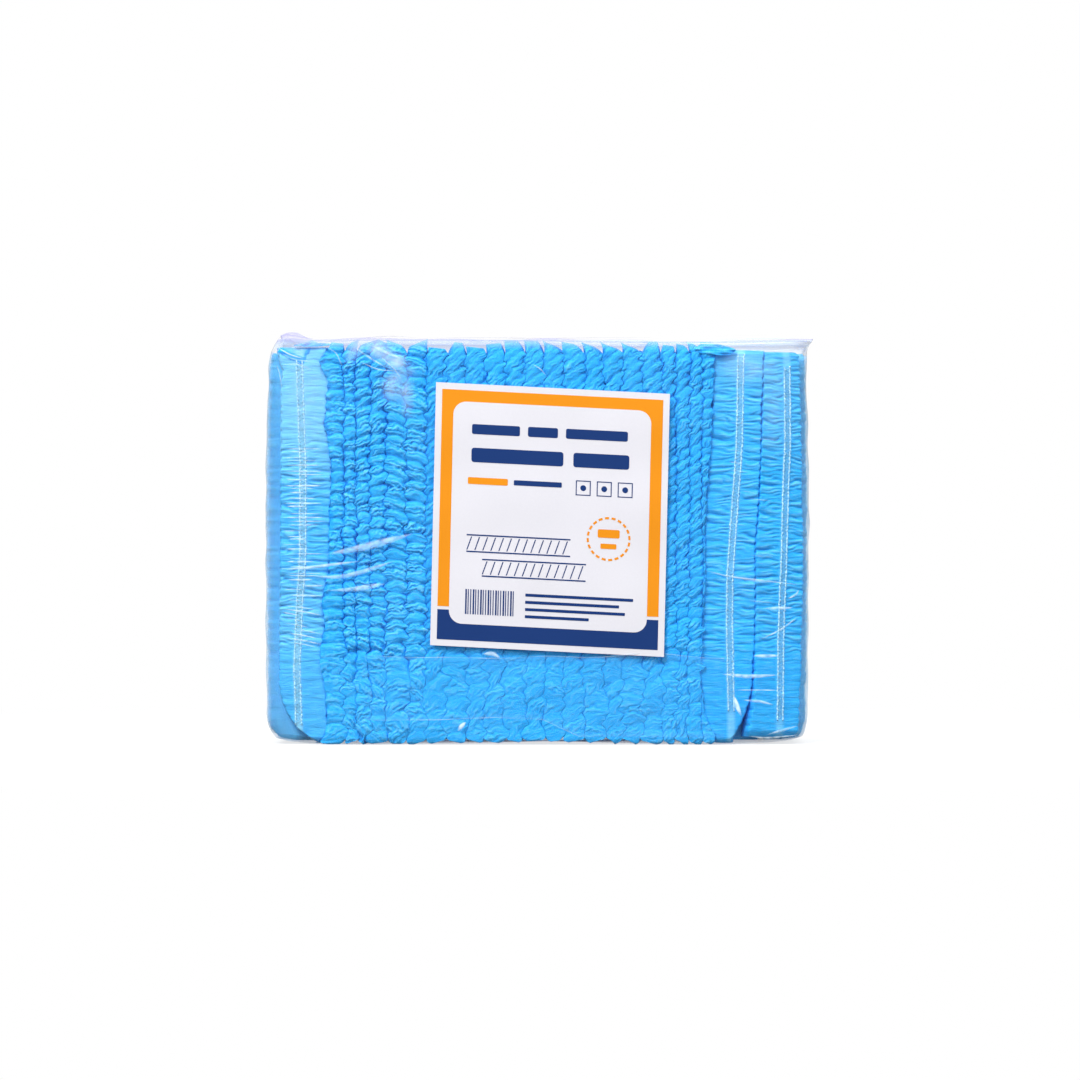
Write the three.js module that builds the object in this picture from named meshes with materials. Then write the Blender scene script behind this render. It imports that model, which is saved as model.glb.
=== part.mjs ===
// A clear film bag packed tight with pleated strip caps, the disposable head cover that nurses wear. Each cap is
// folded along its length into a strip about 25 mm broad and 10 mm thick. Most strips stand on edge, so the front
// shows their scalloped pleats side by side. One strip at the left and two at the right lie flat and show the
// elastic along their middle. The bag's film closes to a thin fin along the top, open as a slit, and a paper
// label is stuck on the front. The bag stands on its base.
//
// Millimetres. X runs across the front from left to right, Y from the front to the back, Z up.
// The origin is the middle of the base.
import * as THREE from "three";

const FILM_WALL = 1;
const GAP = 0.3; // between neighbours that touch on the real pack
const SLACK = 0.5; // between the film and what it is wrapped round
const BAG_CENTRE_Y = 0.5; // the label stands proud in front, so the bag's middle lies this far back
const BAG_CORNER_STEPS = 4;

// The bag's outer outline, level by level: a rounded rectangle whose middle lies "shift" from the origin across.
const BAG_SECTIONS = [
  { height: 0, halfWidth: 128.5, halfDepth: 36, corner: 12, shift: -1.35 },
  { height: 1.4, halfWidth: 132.5, halfDepth: 40, corner: 13, shift: -1.35 },
  { height: 4.5, halfWidth: 135, halfDepth: 42.2, corner: 14, shift: -1.35 },
  { height: 10, halfWidth: 136, halfDepth: 43, corner: 14, shift: -1.35 },
  { height: 60, halfWidth: 136.7, halfDepth: 43, corner: 14, shift: -1.35 },
  { height: 110, halfWidth: 136.9, halfDepth: 43, corner: 14, shift: -1.35 },
  { height: 160, halfWidth: 136.4, halfDepth: 43, corner: 14, shift: -1.35 },
  { height: 190, halfWidth: 135.4, halfDepth: 43, corner: 14, shift: -1.2 },
  { height: 196, halfWidth: 134.8, halfDepth: 42, corner: 13.5, shift: -0.6 },
  { height: 200.5, halfWidth: 134.2, halfDepth: 37, corner: 12, shift: 0.6 },
  { height: 203.2, halfWidth: 134, halfDepth: 23, corner: 8, shift: 2 },
  { height: 204, halfWidth: 134.3, halfDepth: 2.2, corner: 1.8, shift: 2.8 },
  { height: 206.5, halfWidth: 135, halfDepth: 1.6, corner: 1.2, shift: 3.25 },
];
const MOUTH_HALF_GAP = 0.6; // half the slit between the two walls of the fin

// Strips on edge in the front row, from left to right. Those next to the flat ones are squeezed narrower.
const FRONT_ROW_LEFT = -104.75;
const SQUEEZED_LEFT = [7, 6, 7.25, 7.75, 10.25, 10.5];
const MIDDLE_COUNT = 12;
const MIDDLE_WIDTH = 9.8;
const SQUEEZED_RIGHT = [7.1, 6.8, 6.3, 4.6];
const FRONT_WIDTHS = [...SQUEEZED_LEFT, ...Array(MIDDLE_COUNT).fill(MIDDLE_WIDTH), ...SQUEEZED_RIGHT];
const BACK_COUNT = 19;
const ROW_DEPTH = 20.6; // a strip's breadth, as squeezed in the pack
const PLEATS = { front: 34, back: 17, flat: 34 };
const PLEAT_DEPTH = { edge: 1.8, flat: 0.9 };
const ROW_BOTTOM = 1.8;
const SHOULDER = 189; // where the pleats end and the strip's free tip begins
const TIP = { height: 199.6, sway: 1.5, thickness: 4 }; // the tips stand at uneven heights

// Strips that lie flat in front: "left" is the near edge in X and "turn" the angle about the upright through it.
const FLAT_THICKNESS = 9.6;
const FLAT_INSET = 1.6; // behind the strips on edge, which leaves room for the elastic and the bag's corners
const FLAT_STRIPS = [
  { name: "left", left: -127.6, width: 22.6, bottom: 4, top: 196, turn: 0 },
  { name: "right_inner", left: 86.6, width: 23.2, bottom: 4, top: 198, turn: 0 },
  { name: "right_outer", left: 112, width: 19.6, bottom: 7, top: 194, turn: 13 },
];

// The elastic on each flat strip drifts sideways on its way down: distances from the strip's near edge.
const ELASTIC = { width: 4.4, thickness: 0.5 };
const ELASTIC_ROUTES = {
  left: [
    { across: 10.3, height: 10 },
    { across: 9.8, height: 40 },
    { across: 10.2, height: 70 },
    { across: 13.2, height: 96 },
    { across: 12.4, height: 140 },
    { across: 11.3, height: 190 },
  ],
  right_inner: [
    { across: 8.8, height: 17 },
    { across: 8.2, height: 60 },
    { across: 9.6, height: 92 },
    { across: 12, height: 130 },
    { across: 13.2, height: 193 },
  ],
  right_outer: [
    { across: 8.4, height: 12 },
    { across: 9.2, height: 50 },
    { across: 10.4, height: 100 },
    { across: 10.8, height: 150 },
    { across: 10.6, height: 187 },
  ],
};

// Stacks of strips lying flat, one behind the other, that fill the bag's sides behind the ones in front.
const STACK = { count: 7, bottom: 6, top: 188, bulge: 1.2 };
const STACK_PLANS = [
  { name: "left", inner: -104.95, outerSide: -1, front: -30.3 },
  { name: "right_outer", inner: 110.1, outerSide: 1, front: -25.9 },
];
const RIGHT_INNER_STACK = { left: 86.6, right: 109.8, front: -30.3 };

const LABEL = { width: 117, height: 131.5, thickness: 0.7, centreX: 5.75, centreZ: 112.75, acrossDeg: 2.9, upDeg: 1.3 };
const FLAP = { left: -87, right: 93, bottom: 16.5, top: 43.2, thickness: 0.6 };

const materials = {
  cap: new THREE.MeshStandardMaterial({ color: 0x42b2f7, roughness: 0.75, metalness: 0 }),
  elastic: new THREE.MeshStandardMaterial({ color: 0xbfe8fb, roughness: 0.7, metalness: 0 }),
  film: new THREE.MeshStandardMaterial({
    color: 0xe6e4f6, roughness: 0.15, metalness: 0, transparent: true, opacity: 0.2,
  }),
  label: new THREE.MeshStandardMaterial({ color: 0xe9e8ef, roughness: 0.5, metalness: 0 }),
};

// Turns a shape drawn in (depth, height) and extruded forwards into one that runs along X.
const ALONG_X = new THREE.Matrix4().makeBasis(
  new THREE.Vector3(0, 1, 0),
  new THREE.Vector3(0, 0, 1),
  new THREE.Vector3(1, 0, 0),
);
// Turns a shape drawn in (across, height) so that its extrusion runs towards the front, along -Y.
const TOWARDS_FRONT = new THREE.Matrix4().makeRotationX(Math.PI / 2);

// The bag's inner surface: one wall inside the outer one, raised at the base and lowered at the top.
const BAG_HEIGHT = BAG_SECTIONS.at(-1).height;
const BAG_INNER = BAG_SECTIONS.map((section) => ({
  ...section,
  height: section.height + FILM_WALL * (1 - (2 * section.height) / BAG_HEIGHT),
  halfWidth: section.halfWidth - FILM_WALL,
  halfDepth: Math.max(section.halfDepth - FILM_WALL, MOUTH_HALF_GAP),
  corner: Math.max(section.corner - FILM_WALL, MOUTH_HALF_GAP * 0.8),
}));
BAG_INNER.at(-1).height = BAG_HEIGHT;

// The named column of the bag's inner sections, read between the two levels next to a height.
function innerAt(height, column) {
  const above = BAG_INNER.findIndex((section) => section.height >= height);
  if (above <= 0) return BAG_INNER.at(above)[column];
  const [low, high] = [BAG_INNER[above - 1], BAG_INNER[above]];
  const share = (height - low.height) / (high.height - low.height);
  return low[column] + share * (high[column] - low[column]);
}

// How far the packed strips may reach towards the front or the back at a height, from the bag's middle.
function packDepth(height) {
  return innerAt(height, "halfDepth") - SLACK;
}

function namedMesh(name, geometry, material) {
  const mesh = new THREE.Mesh(geometry, material);
  mesh.name = name;
  return mesh;
}

// One level of the bag as points on a rounded rectangle, anticlockwise from above.
function bagRing({ height, halfWidth, halfDepth, corner, shift }) {
  const ring = [];
  for (let quarter = 0; quarter < 4; quarter++) {
    const right = quarter === 0 || quarter === 3 ? 1 : -1;
    const back = quarter < 2 ? 1 : -1;
    for (let step = 0; step <= BAG_CORNER_STEPS; step++) {
      const angle = ((quarter + step / BAG_CORNER_STEPS) * Math.PI) / 2;
      ring.push([
        shift + right * (halfWidth - corner) + corner * Math.cos(angle),
        BAG_CENTRE_Y + back * (halfDepth - corner) + corner * Math.sin(angle),
        height,
      ]);
    }
  }
  return ring;
}

// A closed skin over a run of rings, each end shut by a fan round its middle.
function skinOver(rings) {
  const size = rings[0].length;
  const points = rings.flat();
  const faces = [];
  for (let level = 0; level + 1 < rings.length; level++) {
    for (let i = 0; i < size; i++) {
      const a = level * size + i;
      const b = level * size + ((i + 1) % size);
      faces.push(a, b, b + size, a, b + size, a + size);
    }
  }
  const last = (rings.length - 1) * size;
  for (let i = 1; i + 1 < size; i++) {
    faces.push(0, i + 1, i, last, last + i, last + i + 1);
  }
  const geometry = new THREE.BufferGeometry();
  geometry.setAttribute("position", new THREE.Float32BufferAttribute(points.flat(), 3));
  geometry.setIndex(faces);
  return geometry;
}

function bagFilm() {
  const rings = [...BAG_SECTIONS.map(bagRing), ...BAG_INNER.map(bagRing).reverse()];
  return namedMesh("bag_film", skinOver(rings), materials.film);
}

// A strip on edge: pleats up its outer side, a rounded foot where the bag rounds, and a free tip on top.
// "towards" is -1 for a strip that faces the front and 1 for one that faces the back.
function stripOnEdge(name, left, width, towards, pleats, tipHeight) {
  const outer = (height, inset) => towards * (packDepth(height) - inset);
  const inner = towards * (packDepth(SHOULDER) - ROW_DEPTH);
  const pitch = (SHOULDER - ROW_BOTTOM) / pleats;
  const outline = [new THREE.Vector2(inner, ROW_BOTTOM)];
  for (let pleat = 0; pleat < pleats; pleat++) {
    const valley = ROW_BOTTOM + pleat * pitch;
    const crest = valley + pitch / 2;
    outline.push(new THREE.Vector2(outer(valley, PLEAT_DEPTH.edge), valley));
    outline.push(new THREE.Vector2(outer(crest, 0), crest));
  }
  outline.push(new THREE.Vector2(outer(SHOULDER, PLEAT_DEPTH.edge), SHOULDER));
  outline.push(new THREE.Vector2(outer(tipHeight, SLACK), tipHeight));
  outline.push(new THREE.Vector2(outer(tipHeight, SLACK + TIP.thickness), tipHeight));
  outline.push(new THREE.Vector2(inner, SHOULDER));
  if (towards > 0) outline.reverse();
  const geometry = new THREE.ExtrudeGeometry(new THREE.Shape(outline), { depth: width - GAP, bevelEnabled: false });
  geometry.applyMatrix4(ALONG_X);
  const mesh = namedMesh(name, geometry, materials.cap);
  mesh.position.set(left + GAP / 2, BAG_CENTRE_Y, 0);
  return mesh;
}

// How far a flat strip's face lies behind its place at mid height, where the bag rounds in at its foot and top.
function flatSink(height) {
  return packDepth(BAG_HEIGHT / 2) - packDepth(height);
}

// A strip that lies flat: shallow pleats across its broad face, drawn from the upright through its near edge.
function flatStrip({ name, width, bottom, top }) {
  const pitch = (top - bottom) / PLEATS.flat;
  const outline = [new THREE.Vector2(FLAT_THICKNESS, bottom)];
  for (let pleat = 0; pleat < PLEATS.flat; pleat++) {
    const valley = bottom + pleat * pitch;
    const crest = valley + pitch / 2;
    outline.push(new THREE.Vector2(flatSink(valley) + PLEAT_DEPTH.flat, valley));
    outline.push(new THREE.Vector2(flatSink(crest), crest));
  }
  outline.push(new THREE.Vector2(flatSink(top) + PLEAT_DEPTH.flat, top));
  outline.push(new THREE.Vector2(FLAT_THICKNESS, top));
  const geometry = new THREE.ExtrudeGeometry(new THREE.Shape(outline), { depth: width, bevelEnabled: false });
  geometry.applyMatrix4(ALONG_X);
  return namedMesh("cap_flat_" + name, geometry, materials.cap);
}

// The double elastic: one thin band that follows its route over the pleats' crests.
function elasticBand(name) {
  const side = (offset) =>
    ELASTIC_ROUTES[name].map(({ across, height }) => new THREE.Vector2(across + offset, height));
  const outline = [...side(ELASTIC.width / 2), ...side(-ELASTIC.width / 2).reverse()];
  const geometry = new THREE.ExtrudeGeometry(new THREE.Shape(outline), {
    depth: ELASTIC.thickness,
    bevelEnabled: false,
  });
  geometry.applyMatrix4(TOWARDS_FRONT);
  const mesh = namedMesh("elastic_" + name, geometry, materials.elastic);
  mesh.position.y = -GAP;
  return mesh;
}

// How far the packed strips may reach sideways at a depth from the bag's middle, round the bag's corners.
function packEdge(depth, side) {
  const corner = innerAt(STACK.bottom, "corner");
  const straight = innerAt(STACK.bottom, "halfDepth") - corner;
  const past = Math.max(Math.abs(depth) - straight, 0);
  const reach = innerAt(STACK.bottom, "halfWidth") - corner + Math.sqrt(corner ** 2 - past ** 2) - SLACK;
  return side * reach + innerAt(STACK.bottom, "shift");
}

function stackMesh(name, plan) {
  const geometry = new THREE.ExtrudeGeometry(plan, { depth: STACK.top - STACK.bottom, bevelEnabled: false });
  const mesh = namedMesh("cap_stack_" + name, geometry, materials.cap);
  mesh.position.set(0, BAG_CENTRE_Y, STACK.bottom);
  return mesh;
}

// A stack at the bag's side: each strip's outer edge bulges a little past the groove to the next one.
function sideStack({ name, inner, outerSide, front }) {
  const back = packDepth(STACK.bottom);
  const thickness = (back - front) / STACK.count;
  const outline = [new THREE.Vector2(inner, front)];
  for (let strip = 0; strip < STACK.count; strip++) {
    const groove = front + strip * thickness;
    const crest = groove + thickness / 2;
    outline.push(new THREE.Vector2(packEdge(groove, outerSide) - outerSide * STACK.bulge, groove));
    outline.push(new THREE.Vector2(packEdge(crest, outerSide), crest));
  }
  outline.push(new THREE.Vector2(packEdge(back, outerSide) - outerSide * STACK.bulge, back));
  outline.push(new THREE.Vector2(inner, back));
  return stackMesh(name, new THREE.Shape(outline));
}

// The stack between the right-hand one and the strips on edge shows only at the back, so it is a plain block.
function rightInnerStack({ left, right, front }) {
  const back = packDepth(STACK.bottom);
  const corners = [[left, front], [right, front], [right, back], [left, back]];
  return stackMesh("right_inner", new THREE.Shape(corners.map(([x, y]) => new THREE.Vector2(x, y))));
}

// The strips out of sight between the front and the back row, as one block.
function capCore(left, right) {
  const halfDepth = packDepth(SHOULDER) - ROW_DEPTH - GAP;
  const height = SHOULDER - ROW_BOTTOM;
  const geometry = new THREE.BoxGeometry(right - left - GAP, 2 * halfDepth, height);
  const mesh = namedMesh("cap_core", geometry, materials.cap);
  mesh.position.set((left + right) / 2, BAG_CENTRE_Y, ROW_BOTTOM + height / 2);
  return mesh;
}

// A thin sheet stuck on the bag's front, from its outline in (across, height).
function frontSheet(name, outline, thickness, material) {
  const geometry = new THREE.ExtrudeGeometry(new THREE.Shape(outline), { depth: thickness, bevelEnabled: false });
  geometry.applyMatrix4(TOWARDS_FRONT);
  const mesh = namedMesh(name, geometry, material);
  const bagFront = Math.max(...BAG_SECTIONS.map((section) => section.halfDepth));
  mesh.position.y = BAG_CENTRE_Y - bagFront - GAP;
  return mesh;
}

// The label sits slightly askew: its top edge falls to the right and its sides lean over a little less.
function label() {
  const across = THREE.MathUtils.degToRad(LABEL.acrossDeg);
  const up = THREE.MathUtils.degToRad(LABEL.upDeg);
  const corner = (side, level) =>
    new THREE.Vector2(
      LABEL.centreX + (side * LABEL.width * Math.cos(across) + level * LABEL.height * Math.sin(up)) / 2,
      LABEL.centreZ + (-side * LABEL.width * Math.sin(across) + level * LABEL.height * Math.cos(up)) / 2,
    );
  const outline = [corner(-1, -1), corner(1, -1), corner(1, 1), corner(-1, 1)];
  return frontSheet("label", outline, LABEL.thickness, materials.label);
}

// The film's second layer along the foot of the front, where the bag's end is folded over and stuck down.
function bagFlap() {
  const { left, right, bottom, top, thickness } = FLAP;
  const corners = [[left, bottom], [right, bottom], [right, top], [left, top]];
  return frontSheet("bag_flap", corners.map(([x, z]) => new THREE.Vector2(x, z)), thickness, materials.film);
}

const numbered = (prefix, index) => prefix + String(index + 1).padStart(2, "0");

const pack = new THREE.Group();

const caps = new THREE.Group();
let edge = FRONT_ROW_LEFT;
FRONT_WIDTHS.forEach((width, index) => {
  const tipHeight = TIP.height + TIP.sway * Math.sin(2.4 * index);
  caps.add(stripOnEdge(numbered("cap_front_", index), edge, width, -1, PLEATS.front, tipHeight));
  edge += width;
});
const frontRowRight = edge;
const backWidth = (frontRowRight - FRONT_ROW_LEFT) / BACK_COUNT;
for (let index = 0; index < BACK_COUNT; index++) {
  const left = FRONT_ROW_LEFT + index * backWidth;
  const tipHeight = TIP.height + TIP.sway * Math.cos(2.4 * index);
  caps.add(stripOnEdge(numbered("cap_back_", index), left, backWidth, 1, PLEATS.back, tipHeight));
}
for (const strip of FLAT_STRIPS) {
  const placed = new THREE.Group();
  placed.position.set(strip.left, BAG_CENTRE_Y - packDepth(BAG_HEIGHT / 2) + FLAT_INSET, 0);
  placed.rotation.z = THREE.MathUtils.degToRad(strip.turn);
  placed.add(flatStrip(strip), elasticBand(strip.name));
  caps.add(placed);
}
caps.add(...STACK_PLANS.map(sideStack), rightInnerStack(RIGHT_INNER_STACK), capCore(FRONT_ROW_LEFT, frontRowRight));

const bag = new THREE.Group();
bag.add(bagFilm(), bagFlap(), label());
pack.add(caps, bag);

export default pack;
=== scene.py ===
"""A pack of pleated strip caps in a clear film bag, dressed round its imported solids.

The solids give every place and size. This script lays the real surfaces over them: pleated nonwoven cloth,
covered elastic, thin creased film and a printed paper label. Lengths in the classes are millimetres, and
PieceMesh turns them to metres. A "wall" is one side of the pack seen from outside: on it, "across" runs to
the right, "up" to the top and "out" towards the viewer.
"""

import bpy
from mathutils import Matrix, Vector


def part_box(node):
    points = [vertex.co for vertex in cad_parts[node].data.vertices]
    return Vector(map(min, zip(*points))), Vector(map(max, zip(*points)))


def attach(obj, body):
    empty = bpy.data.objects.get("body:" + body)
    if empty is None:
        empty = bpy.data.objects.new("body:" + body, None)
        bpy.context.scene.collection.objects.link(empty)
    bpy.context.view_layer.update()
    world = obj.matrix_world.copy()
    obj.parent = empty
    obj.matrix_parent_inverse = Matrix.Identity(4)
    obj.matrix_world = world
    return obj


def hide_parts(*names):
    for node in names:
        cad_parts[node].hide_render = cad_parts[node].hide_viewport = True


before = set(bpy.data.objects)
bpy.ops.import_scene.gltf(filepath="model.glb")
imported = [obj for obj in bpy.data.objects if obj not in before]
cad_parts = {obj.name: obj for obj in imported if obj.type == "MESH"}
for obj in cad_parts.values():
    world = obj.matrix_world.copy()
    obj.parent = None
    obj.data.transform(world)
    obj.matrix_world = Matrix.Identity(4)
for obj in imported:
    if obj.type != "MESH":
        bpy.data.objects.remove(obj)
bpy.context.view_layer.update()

import logging
import math
from dataclasses import dataclass, field, replace
from enum import Enum
from typing import Any, Callable, Sequence

import bmesh
import bpy
import numpy as np

Array = np.ndarray
Material = bpy.types.Material
Piece = bpy.types.Object
Socket = bpy.types.NodeSocket

LOG = logging.getLogger("strip_cap_pack")
MM = 0.001
BODY = "root"
# A painted value that is 0 over the rings of a loft and at its two end points.
NO_PAINT = (0.0, 0.0, 0.0)


# ---------------------------------------------------------------------------------------------------------
# Numbers and noise
# ---------------------------------------------------------------------------------------------------------


def smooth(low: float, high: float, value: Array) -> Array:
    """Eased step from 0 at low to 1 at high.

    Args:
        low: where the step starts.
        high: where it ends. It may be less than low, and then the step falls.
        value: where to read it.

    Returns:
        The step's height at each value.
    """
    share = np.clip((value - low) / (high - low), 0.0, 1.0)
    return share * share * (3.0 - 2.0 * share)


def pillow(gap: Array, spread: float) -> Array:
    """A round shoulder that rises steeply from 0 at a crease to 1 where gap reaches spread."""
    share = 1.0 - np.clip(gap / spread, 0.0, 1.0)
    return np.sqrt(np.maximum(1.0 - share * share, 0.0))


class Ripple:
    """Smooth, seeded, wandering noise from about -1 to 1: a few sine waves of random heading and phase."""

    def __init__(self, seed: int, wavelength: float, stretch: float = 1.0, waves: int = 7) -> None:
        """Draws the waves.

        Args:
            seed: picks the waves, so that the same seed gives the same ripple.
            wavelength: the middle distance between crests, in mm.
            stretch: how many times longer the waves are along their first coordinate.
            waves: how many are summed.
        """
        rng = np.random.default_rng(seed)
        heading = rng.uniform(0, 2 * math.pi, waves)
        rate = 2 * math.pi / (wavelength * rng.uniform(0.6, 1.6, waves))
        self.first = np.cos(heading) * rate / stretch
        self.second = np.sin(heading) * rate
        self.phase = rng.uniform(0, 2 * math.pi, waves)

    def __call__(self, first: Array, second: Array | float = 0.0) -> Array:
        """The ripple's height at each pair of coordinates, in mm.

        Args:
            first: coordinates along the stretched way.
            second: coordinates across it.

        Returns:
            The height at each pair.
        """
        first, second = np.broadcast_arrays(np.asarray(first, float), np.asarray(second, float))
        angle = first[..., None] * self.first + second[..., None] * self.second + self.phase
        return np.sin(angle).sum(-1) / math.sqrt(len(self.phase) / 1.2)


# ---------------------------------------------------------------------------------------------------------
# Meshes
# ---------------------------------------------------------------------------------------------------------


@dataclass
class PieceMesh:
    """Points, faces and painted values of a mesh while it is put together, in millimetres."""

    points: list[Array] = field(default_factory=list)
    faces: list[list[int]] = field(default_factory=list)
    paint: dict[str, list[Array]] = field(default_factory=dict)
    maps: list[Array] = field(default_factory=list)
    slots: list[int] = field(default_factory=list)
    count: int = 0

    def add(
        self,
        points: Array,
        faces: Sequence[Sequence[int]],
        paint: dict[str, Array] | None = None,
        mapping: Array | None = None,
        slot: int = 0,
    ) -> None:
        """Adds one run of points and faces.

        Args:
            points: N by 3 places in mm.
            faces: each face's points, counted from the first of these points.
            paint: values from 0 to 1 for each point, by name.
            mapping: N by 2 pattern coordinates in mm.
            slot: which of the piece's materials the faces have.
        """
        points = np.asarray(points, float).reshape(-1, 3)
        self.points.append(points)
        self.faces.extend([[corner + self.count for corner in face] for face in faces])
        self.slots.extend([slot] * len(faces))
        for name, values in (paint or {}).items():
            self.paint.setdefault(name, []).append(np.asarray(values, float).ravel())
        self.maps.append(np.zeros((len(points), 2)) if mapping is None else mapping.reshape(-1, 2))
        self.count += len(points)

    def add_loft(
        self,
        rings: Array,
        paint: dict[str, tuple[Array | float, float, float]],
        mapping: Array | None = None,
        ends: Array | None = None,
        inward: bool = False,
    ) -> None:
        """Adds a closed loft, shut at its first and last ring round a middle point.

        Args:
            rings: rows by points by 3 places in mm.
            paint: by name, the values over the rings and those at the two middle points.
            mapping: rows by points by 2 pattern coordinates in mm.
            ends: the two middle points, if they are not the end rings' means.
            inward: whether the rings run clockwise seen from the last one, so that faces must be turned.
        """
        rows, size = rings.shape[:2]
        count = rows * size
        faces = grid_faces(rows, size, closed=True)
        if inward:
            faces = turned(faces)
        faces += end_fan(0, size, count, inward) + end_fan(count - size, size, count + 1, not inward)
        if ends is None:
            ends = np.stack([rings[0].mean(0), rings[-1].mean(0)])
        values = {}
        for name, (over, *tips) in paint.items():
            values[name] = np.append(np.broadcast_to(over, (rows, size)), tips)
        if mapping is not None:
            mapping = np.concatenate([mapping.reshape(-1, 2), np.zeros((2, 2))])
        self.add(np.concatenate([rings.reshape(-1, 3), ends]), faces, values, mapping)

    def build(self, name: str, materials: Sequence[Material]) -> Piece:
        """Makes the Blender object.

        Args:
            name: the piece's name.
            materials: its materials, in the order that the faces' slots count them.

        Returns:
            The new object, linked to the scene.
        """
        mesh = bpy.data.meshes.new(name)
        places = np.concatenate(self.points) * MM
        mesh.from_pydata(places.tolist(), [], self.faces)
        for material in materials:
            mesh.materials.append(material)
        mesh.polygons.foreach_set("material_index", self.slots)
        mesh.polygons.foreach_set("use_smooth", [True] * len(self.faces))
        for label, runs in self.paint.items():
            layer = mesh.attributes.new(label, "FLOAT", "POINT")
            layer.data.foreach_set("value", np.concatenate(runs).astype(np.float32))
        corners = np.zeros(len(mesh.loops), int)
        mesh.loops.foreach_get("vertex_index", corners)
        mapping = mesh.uv_layers.new(name="Cloth")
        mapping.data.foreach_set("uv", np.concatenate(self.maps)[corners].astype(np.float32).ravel())
        mesh.update()
        piece = bpy.data.objects.new(name, mesh)
        bpy.context.scene.collection.objects.link(piece)
        return piece


def fit_to_frame(piece: Piece, slot: str, *nodes: str) -> Piece:
    """Fixes a piece to the pack's body and hides the solids that it stands for.

    Args:
        piece: the piece.
        slot: not used.
        nodes: the solids that it stands for.

    Returns:
        The same piece.
    """
    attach(piece, BODY)
    if nodes:
        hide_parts(*nodes)
    return piece


def grid_faces(rows: int, size: int, closed: bool = False) -> list[list[int]]:
    """Four-sided faces between neighbouring rows of points.

    Args:
        rows: how many rows there are, from the foot up.
        size: how many points each has, from left to right, or anticlockwise seen from above.
        closed: whether each row is a ring.

    Returns:
        The faces, which look towards the viewer, or outwards from rings.
    """
    here = np.arange(size if closed else size - 1)
    after = (here + 1) % size
    faces = []
    for low in range(0, (rows - 1) * size, size):
        high = low + size
        faces.extend(np.stack([low + here, low + after, high + after, high + here], 1).tolist())
    return faces


def turned(faces: list[list[int]]) -> list[list[int]]:
    """The same faces, looking the other way."""
    return [face[::-1] for face in faces]


def end_fan(start: int, size: int, centre: int, upwards: bool) -> list[list[int]]:
    """Triangles that shut a ring round a middle point.

    Args:
        start: the number of the ring's first point.
        size: how many points it has.
        centre: the middle point's number.
        upwards: whether the triangles run as the ring does, and not against it.

    Returns:
        The triangles.
    """
    fan = []
    for step in range(size):
        first, second = start + step, start + (step + 1) % size
        fan.append([first, second, centre] if upwards else [second, first, centre])
    return fan


class Facing(Enum):
    """The pack's walls: the frame's X and Y for a step across, and for a step out."""

    FRONT = (1, 0, 0, -1)
    BACK = (-1, 0, 0, 1)
    LEFT = (0, -1, -1, 0)
    RIGHT = (0, 1, 1, 0)

    def place(self, across: Array, out: Array, up: Array) -> Array:
        """Turns places on this wall to the frame's X, Y and Z.

        Args:
            across: how far right of the frame's middle they lie, seen from outside.
            out: how far out from it.
            up: how high.

        Returns:
            The places, with X, Y and Z last.
        """
        across_x, across_y, out_x, out_y = self.value
        x = across * across_x + out * out_x
        y = across * across_y + out * out_y
        return np.stack(np.broadcast_arrays(x, y, up), -1)


# ---------------------------------------------------------------------------------------------------------
# Finishes
# ---------------------------------------------------------------------------------------------------------


def linear(hex_colour: str) -> tuple[float, float, float, float]:
    """An sRGB colour such as "#42B2F7" as the linear colour that shaders take.

    Args:
        hex_colour: the sRGB colour.

    Returns:
        Linear red, green and blue, and an alpha of 1.
    """
    parts = [int(hex_colour[i : i + 2], 16) / 255 for i in (1, 3, 5)]
    red, green, blue = (c / 12.92 if c <= 0.04045 else ((c + 0.055) / 1.055) ** 2.4 for c in parts)
    return red, green, blue, 1.0


def add_node(
    material: bpy.types.ID,
    kind: str,
    inputs: dict[str | int, Any] | None = None,
    **settings: Any,
) -> bpy.types.Node:
    """Adds a shader node with its settings, values and links.

    Args:
        material: the material or world that it goes into.
        kind: the node's type, such as ShaderNodeBsdfPrincipled.
        inputs: by input name or number, a value, or an output to link from.
        settings: the node's own properties.

    Returns:
        The new node.
    """
    node = material.node_tree.nodes.new(kind)
    for name, value in settings.items():
        setattr(node, name, value)
    for name, value in (inputs or {}).items():
        if isinstance(value, Socket):
            material.node_tree.links.new(value, node.inputs[name])
        else:
            node.inputs[name].default_value = value
    return node


def blank_material(name: str) -> Material:
    """A new material of this name, with no nodes yet.

    Args:
        name: what it is called.

    Returns:
        The material.
    """
    material = bpy.data.materials.new(name)
    material.use_nodes = True
    material.node_tree.nodes.clear()
    return material


def set_surface(material: bpy.types.ID, shader: bpy.types.Node) -> None:
    """Links a shader to a new material output."""
    add_node(material, "ShaderNodeOutputMaterial", {"Surface": shader.outputs[0]})


def object_place(material: bpy.types.ID) -> Socket:
    """Places in metres, as seen from the piece."""
    return add_node(material, "ShaderNodeTexCoord").outputs["Object"]


def painted(material: bpy.types.ID, name: str) -> Socket:
    """The values that a mesh is painted with under this name."""
    return add_node(material, "ShaderNodeAttribute", attribute_name=name).outputs["Fac"]


def noise(
    material: bpy.types.ID, place: Socket, size: float, detail: float, **more: float
) -> Socket:
    """Cloudy noise from 0 to 1 whose blobs have this size in the place's unit, with more inputs by name."""
    inputs = {"Vector": place, "Scale": 1 / size, "Detail": detail}
    return add_node(material, "ShaderNodeTexNoise", inputs | more).outputs["Fac"]


def ramp(
    material: bpy.types.ID,
    value: Socket,
    low: float,
    high: float,
    start: float = 0.0,
    end: float = 1.0,
    **settings: Any,
) -> Socket:
    """A value's ramp, from start where it is low to end where it is high."""
    inputs = {"Value": value, "From Min": low, "From Max": high, "To Min": start, "To Max": end}
    return add_node(material, "ShaderNodeMapRange", inputs, **settings).outputs[0]


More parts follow.
